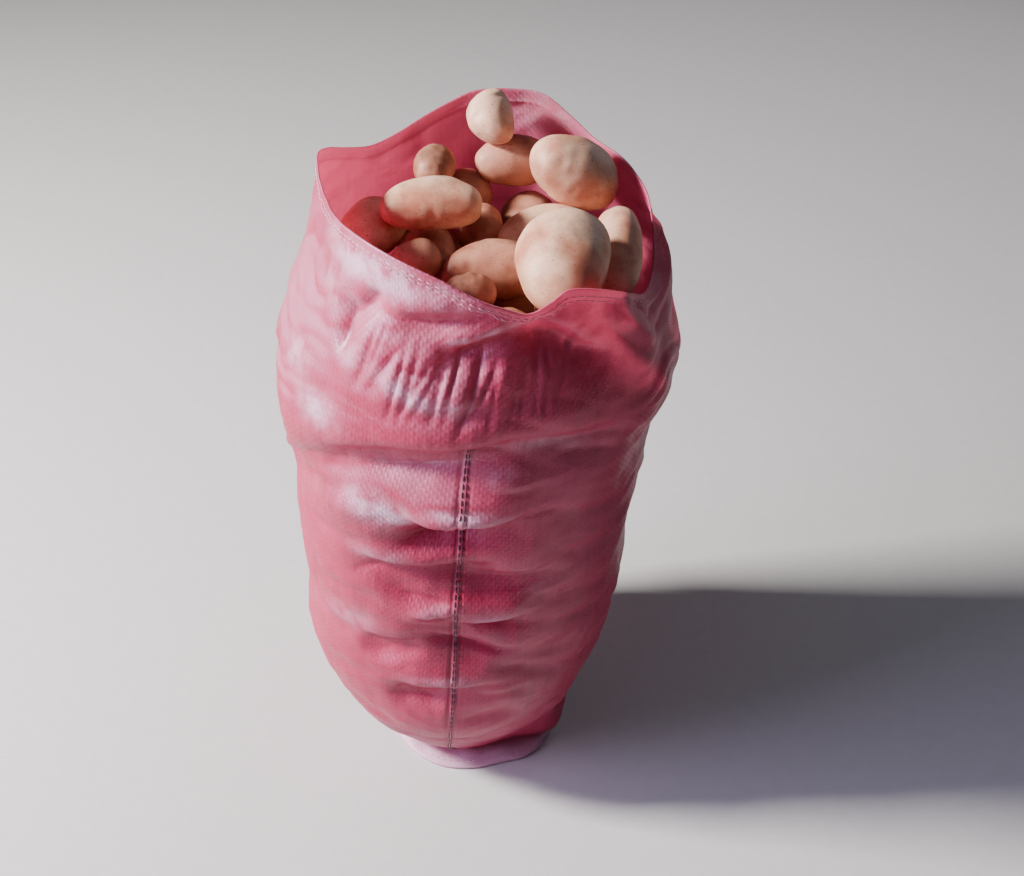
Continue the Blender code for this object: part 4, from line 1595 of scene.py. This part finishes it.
@dataclass
class Tuber:
    """One potato's shape, in millimetres, about its own middle with its long axis along X."""

    length: float
    width: float
    thickness: float
    taper: float
    bend: float
    seed: int
    columns: int = 56
    rows: int = 40
    fullness: float = 0.85
    eyes: int = 9
    eye_depth: float = 1.1
    eye_width: float = 3.4
    unevenness: float = 0.05

    def points(self) -> tuple[np.ndarray, list[tuple[int, ...]]]:
        """The potato's points and faces.

        Returns:
            The points, and the faces as point numbers.
        """
        chance = random.Random(self.seed)
        spots = []
        for index in range(self.eyes):
            along = -0.75 + 1.5 * (index + chance.uniform(0.1, 0.9)) / self.eyes
            around = (index * 2.4 + chance.uniform(-0.4, 0.4)) % (2.0 * math.pi)
            spots.append((along, around, chance.uniform(0.6, 1.2)))
        points = [self.skin_point(-1.0, 0.0, spots)]
        for row in range(1, self.rows):
            along = -math.cos(math.pi * row / self.rows)
            for column in range(self.columns):
                points.append(self.skin_point(along, 2.0 * math.pi * column / self.columns, spots))
        points.append(self.skin_point(1.0, 0.0, spots))
        faces = closed_faces(self.rows - 1, self.columns, 1, (0, len(points) - 1))
        return np.array(points), faces

    def skin_point(self, along: float, around: float, spots: list[tuple[float, float, float]]) -> np.ndarray:
        """A point of the skin.

        Args:
            along: From -1 at one end to 1 at the other.
            around: The angle round the long axis, in radians.
            spots: The eyes, as along, around and size.

        Returns:
            The point.
        """
        reach = max(1.0 - along * along, 0.0) ** (0.5 * self.fullness) * (1.0 + self.taper * along)
        bow = self.bend * (1.0 - 2.0 * along ** 2)
        point = Vector((0.5 * self.length * along, 0.5 * self.width * reach * math.cos(around) + bow,
                        0.5 * self.thickness * reach * math.sin(around)))
        where = Vector((along * 1.3, math.cos(around) * reach, math.sin(around) * reach)) + Vector((self.seed, 0, 0))
        swell = 1.0 + self.unevenness * noise.noise(where * 1.3) + 0.4 * self.unevenness * noise.noise(where * 3.1)
        point *= swell
        radius = 0.25 * (self.width + self.thickness)
        for spot_along, spot_around, size in spots:
            run = (along - spot_along) * 0.5 * self.length
            turn = ((around - spot_around + math.pi) % (2.0 * math.pi) - math.pi) * radius * reach
            apart = (run / (0.7 * self.eye_width * size)) ** 2 + (turn / (1.4 * self.eye_width * size)) ** 2
            if apart < 9.0:
                brow = math.exp(-(((run / (self.eye_width * size)) - 0.9) ** 2) * 2.0
                                - (turn / (1.7 * self.eye_width * size)) ** 2)
                move = -self.eye_depth * size * math.exp(-apart) + 0.35 * self.eye_depth * size * brow
                point += Vector((0.0, math.cos(around), math.sin(around))) * move
        return np.array(point)


@dataclass
class ShownPotatoes:
    """The potatoes at the mouth, each where its solid lies."""

    materials: dict[Look, bpy.types.Material]
    seed: int = 30

    def build(self) -> list[bpy.types.Object]:
        """Makes every potato and puts it in its solid's place.

        Returns:
            The pieces.
        """
        pieces = []
        for index, row in enumerate(POTATOES):
            tuber = Tuber(row.length, row.width, row.thickness, row.taper, row.bend, self.seed + index)
            points, faces = tuber.points()
            turn = Euler((0.0, -math.radians(row.tilt), math.radians(row.yaw)), "XYZ").to_matrix()
            points = points @ np.array(turn).T * MM
            low, high = (np.array(corner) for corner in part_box(row.name))
            points += 0.5 * (low + high) - 0.5 * (points.min(axis=0) + points.max(axis=0))
            piece = make_piece(row.name + "_skin", points, faces, self.materials[row.look])
            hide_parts(row.name)
            pieces.append(piece)
        return pieces


@dataclass
class PackedPotatoes:
    """The potatoes under the shown ones, and the plain mass of them that fills the sack below."""

    shape: SackShape
    material: bpy.types.Material
    spacing: float = 45.0
    reach: int = 4
    shake: float = 5.0
    least_room: float = 34.0
    room_height: float = 500.0
    lengths: tuple[float, float] = (50.0, 62.0)
    widths: tuple[float, float] = (44.0, 50.0)
    thicknesses: tuple[float, float] = (38.0, 44.0)
    edge_height: float = 508.0
    crown: float = 30.0
    crown_radius: float = 150.0
    core_inset: float = 9.0
    core_columns: int = 48
    core_heights: tuple[float, ...] = (4.0, 22.0, 60.0, 110.0, 170.0, 240.0, 310.0, 380.0, 440.0, 478.0)
    core_foot: float = 0.65
    core_peak: tuple[float, float, float] = (12.0, 5.0, 500.0)
    seed: int = 70

    def dome(self, x: float, y: float) -> float:
        """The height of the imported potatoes' top at a place."""
        apart = math.hypot(x - self.shape.mouth_x, y - self.shape.mouth_y) / self.crown_radius
        return self.edge_height + self.crown * max(0.0, 1.0 - apart ** 2)

    def core(self) -> tuple[np.ndarray, list[tuple[int, ...]]]:
        """The plain mass inside the sack.

        Returns:
            Its points and faces.
        """
        directions = 360.0 * np.arange(self.core_columns) / self.core_columns
        rings = []
        for height in self.core_heights:
            nearest = np.full(self.core_columns, np.inf)
            for rise in (-14.0, 0.0, 14.0):
                for turn in (-6.0, 0.0, 6.0):
                    level = np.full(self.core_columns, max(height + rise, 10.0))
                    place = self.shape.section_place(directions + turn, level)
                    out, _ = self.shape.main_rise(directions + turn, level)
                    nearest = np.minimum(nearest, np.linalg.norm(place[:, :2], axis=1) + np.minimum(out, 0.0))
            if height == self.core_heights[0]:
                nearest *= self.core_foot
            ring = outward(directions) * (nearest - self.core_inset)[:, None]
            ring[:, 2] = height
            rings.append(ring)
        points = np.concatenate(rings + [np.array([[0.0, 0.0, self.core_heights[0]], self.core_peak])])
        faces = closed_faces(len(rings), self.core_columns, 0, (len(points) - 2, len(points) - 1))
        return points, faces

    def build(self) -> bpy.types.Object:
        """Makes the piece.

        Returns:
            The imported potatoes, joined.
        """
        chance = random.Random(self.seed)
        points, faces = self.core()
        all_points, all_faces, total = [points], list(faces), len(points)
        row_gap = self.spacing * math.sqrt(0.75)
        for j in range(-self.reach, self.reach + 1):
            for i in range(-self.reach, self.reach + 1):
                x = self.shape.mouth_x + (i + 0.5 * (j % 2)) * self.spacing + chance.uniform(-self.shake, self.shake)
                y = self.shape.mouth_y + j * row_gap + chance.uniform(-self.shake, self.shake)
                direction = np.array([math.degrees(math.atan2(x, -y))])
                wall = self.shape.section_place(direction, np.array([self.room_height]))[0]
                room = np.linalg.norm(wall[:2]) - math.hypot(x, y)
                sizes = [chance.uniform(*ends) for ends in (self.lengths, self.widths, self.thicknesses)]
                turn = Euler((0.0, chance.uniform(-0.25, 0.25), chance.uniform(0.0, math.pi)), "XYZ").to_matrix()
                if room < self.least_room:
                    continue
                tuber = Tuber(*sizes, taper=0.08, bend=2.0, seed=self.seed + total, columns=22, rows=16, eyes=5)
                body, skin = tuber.points()
                body = body @ np.array(turn).T
                body += np.array([x, y, self.dome(x, y) - 0.5 * tuber.thickness + 1.0])
                all_faces += [tuple(number + total for number in face) for face in skin]
                all_points.append(body)
                total += len(body)
        piece = make_piece("packed_potatoes", np.concatenate(all_points) * MM, all_faces,
                           self.material)
        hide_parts("potatoes_below")
        return piece


@dataclass
class Studio:
    """The camera, the lights and the floor."""

    eye: tuple[float, float, float] = (0.018, -0.8916, 1.095)
    pitch: float = 39.0
    yaw: float = 2.0
    roll: float = 2.0
    focal_px: float = 1209.0
    frame_width_px: float = 1024.0
    sensor_mm: float = 36.0
    aim: tuple[float, float, float] = (0.0, 0.0, 0.36)
    air: str = "#EEF0F6"
    air_strength: float = 0.05
    floor_half: float = 6.0
    floor_drop: float = 0.0005

    def camera(self) -> bpy.types.Object:
        """Sets the camera at the photograph's angle.

        Returns:
            The camera.
        """
        pitch, yaw, roll = (math.radians(angle) for angle in (self.pitch, self.yaw, self.roll))
        forward = Vector((math.sin(yaw) * math.cos(pitch), math.cos(yaw) * math.cos(pitch), -math.sin(pitch)))
        level = Vector((math.cos(yaw), -math.sin(yaw), 0.0))
        up = level.cross(forward)
        right = level * math.cos(roll) + up * math.sin(roll)
        top = up * math.cos(roll) - level * math.sin(roll)
        data = bpy.data.cameras.new("camera")
        data.sensor_width = self.sensor_mm
        data.lens = self.focal_px / self.frame_width_px * self.sensor_mm
        data.clip_end = 20.0
        camera = bpy.data.objects.new("camera", data)
        axes = Matrix((right, top, -forward)).transposed()
        camera.matrix_world = Matrix.Translation(Vector(self.eye)) @ axes.to_4x4()
        bpy.context.scene.collection.objects.link(camera)
        bpy.context.scene.camera = camera
        return camera

    def light(self, lamp: Lamp) -> None:
        """Adds a soft square light that faces the sack.

        Args:
            lamp: Its row.
        """
        data = bpy.data.lights.new(lamp.name, "AREA")
        data.shape = "SQUARE"
        data.size = lamp.size
        data.spread = math.radians(lamp.beam)
        data.energy = lamp.watts
        data.color = linear(lamp.colour)[:3]
        light = bpy.data.objects.new(lamp.name, data)
        light.location = (lamp.x, lamp.y, lamp.z)
        light.rotation_euler = (Vector(self.aim) - light.location).to_track_quat("-Z", "Y").to_euler()
        bpy.context.scene.collection.objects.link(light)

    def build(self) -> None:
        """Sets up everything round the sack."""
        self.camera()
        for lamp in LAMPS:
            self.light(lamp)
        world = bpy.data.worlds.new("studio")
        world.use_nodes = True
        background = world.node_tree.nodes["Background"]
        background.inputs["Color"].default_value = linear(self.air)
        background.inputs["Strength"].default_value = self.air_strength
        bpy.context.scene.world = world
        mesh = bpy.data.meshes.new("floor")
        half = self.floor_half
        mesh.from_pydata([(-half, -half, 0), (half, -half, 0), (half, half, 0), (-half, half, 0)], [], [(0, 1, 2, 3)])
        mesh.materials.append(PaleFloor().make())
        floor = bpy.data.objects.new("floor", mesh)
        bpy.context.scene.collection.objects.link(floor)
        floor.location.z = -self.floor_drop


def main() -> None:
    """Builds the sack, its stitching, the potatoes and the studio."""
    logging.basicConfig(level=logging.INFO, format="%(message)s")
    Studio().build()
    shape = SackShape()
    # The inner face is the same cloth. Its paler dye stands for the sunlight that comes through from outside
    inner_cloth = WovenPolypropylene(name="woven_polypropylene_inside", colour="#DC6E94", faded="#EAA0BA",
                                     deep="#B8446C", glow="#FFB4C6", translucency=0.65, coat=0.1)
    cloth = SackCloth(shape, WovenPolypropylene().make(), inner_cloth.make())
    sack = cloth.build()
    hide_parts("sack")
    LOG.info("%s: %d faces", sack.name, len(sack.data.polygons))

    sewing = Stitching(SpunThread().make())
    dark_thread = SpunThread(name="spun_thread_dark", colour="#64203E", shade="#401026")
    seaming = Stitching(dark_thread.make(), diameter=1.3)
    for name, line in cloth.sewn_lines().items():
        maker = seaming if name.startswith("length_seam") else sewing
        maker.build(sack, name, line)

    # The soiled skin is also a shaded copy: its darker, redder colours are painted shade for the potatoes in shadow
    soiled = PotatoSkin(name="potato_skin_soiled_shaded", pale="#C48A72", warm="#8E5440", soil_share=0.7)
    potato = {Look.CLEAN: PotatoSkin().make(), Look.SOILED_AND_SHADED: soiled.make()}
    shown = ShownPotatoes(potato).build()
    LOG.info("shown potatoes: %d", len(shown))
    packed = PackedPotatoes(shape, potato[Look.SOILED_AND_SHADED]).build()
    LOG.info("%s: %d faces", packed.name, len(packed.data.polygons))

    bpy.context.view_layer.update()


if __name__ == "__main__":
    main()
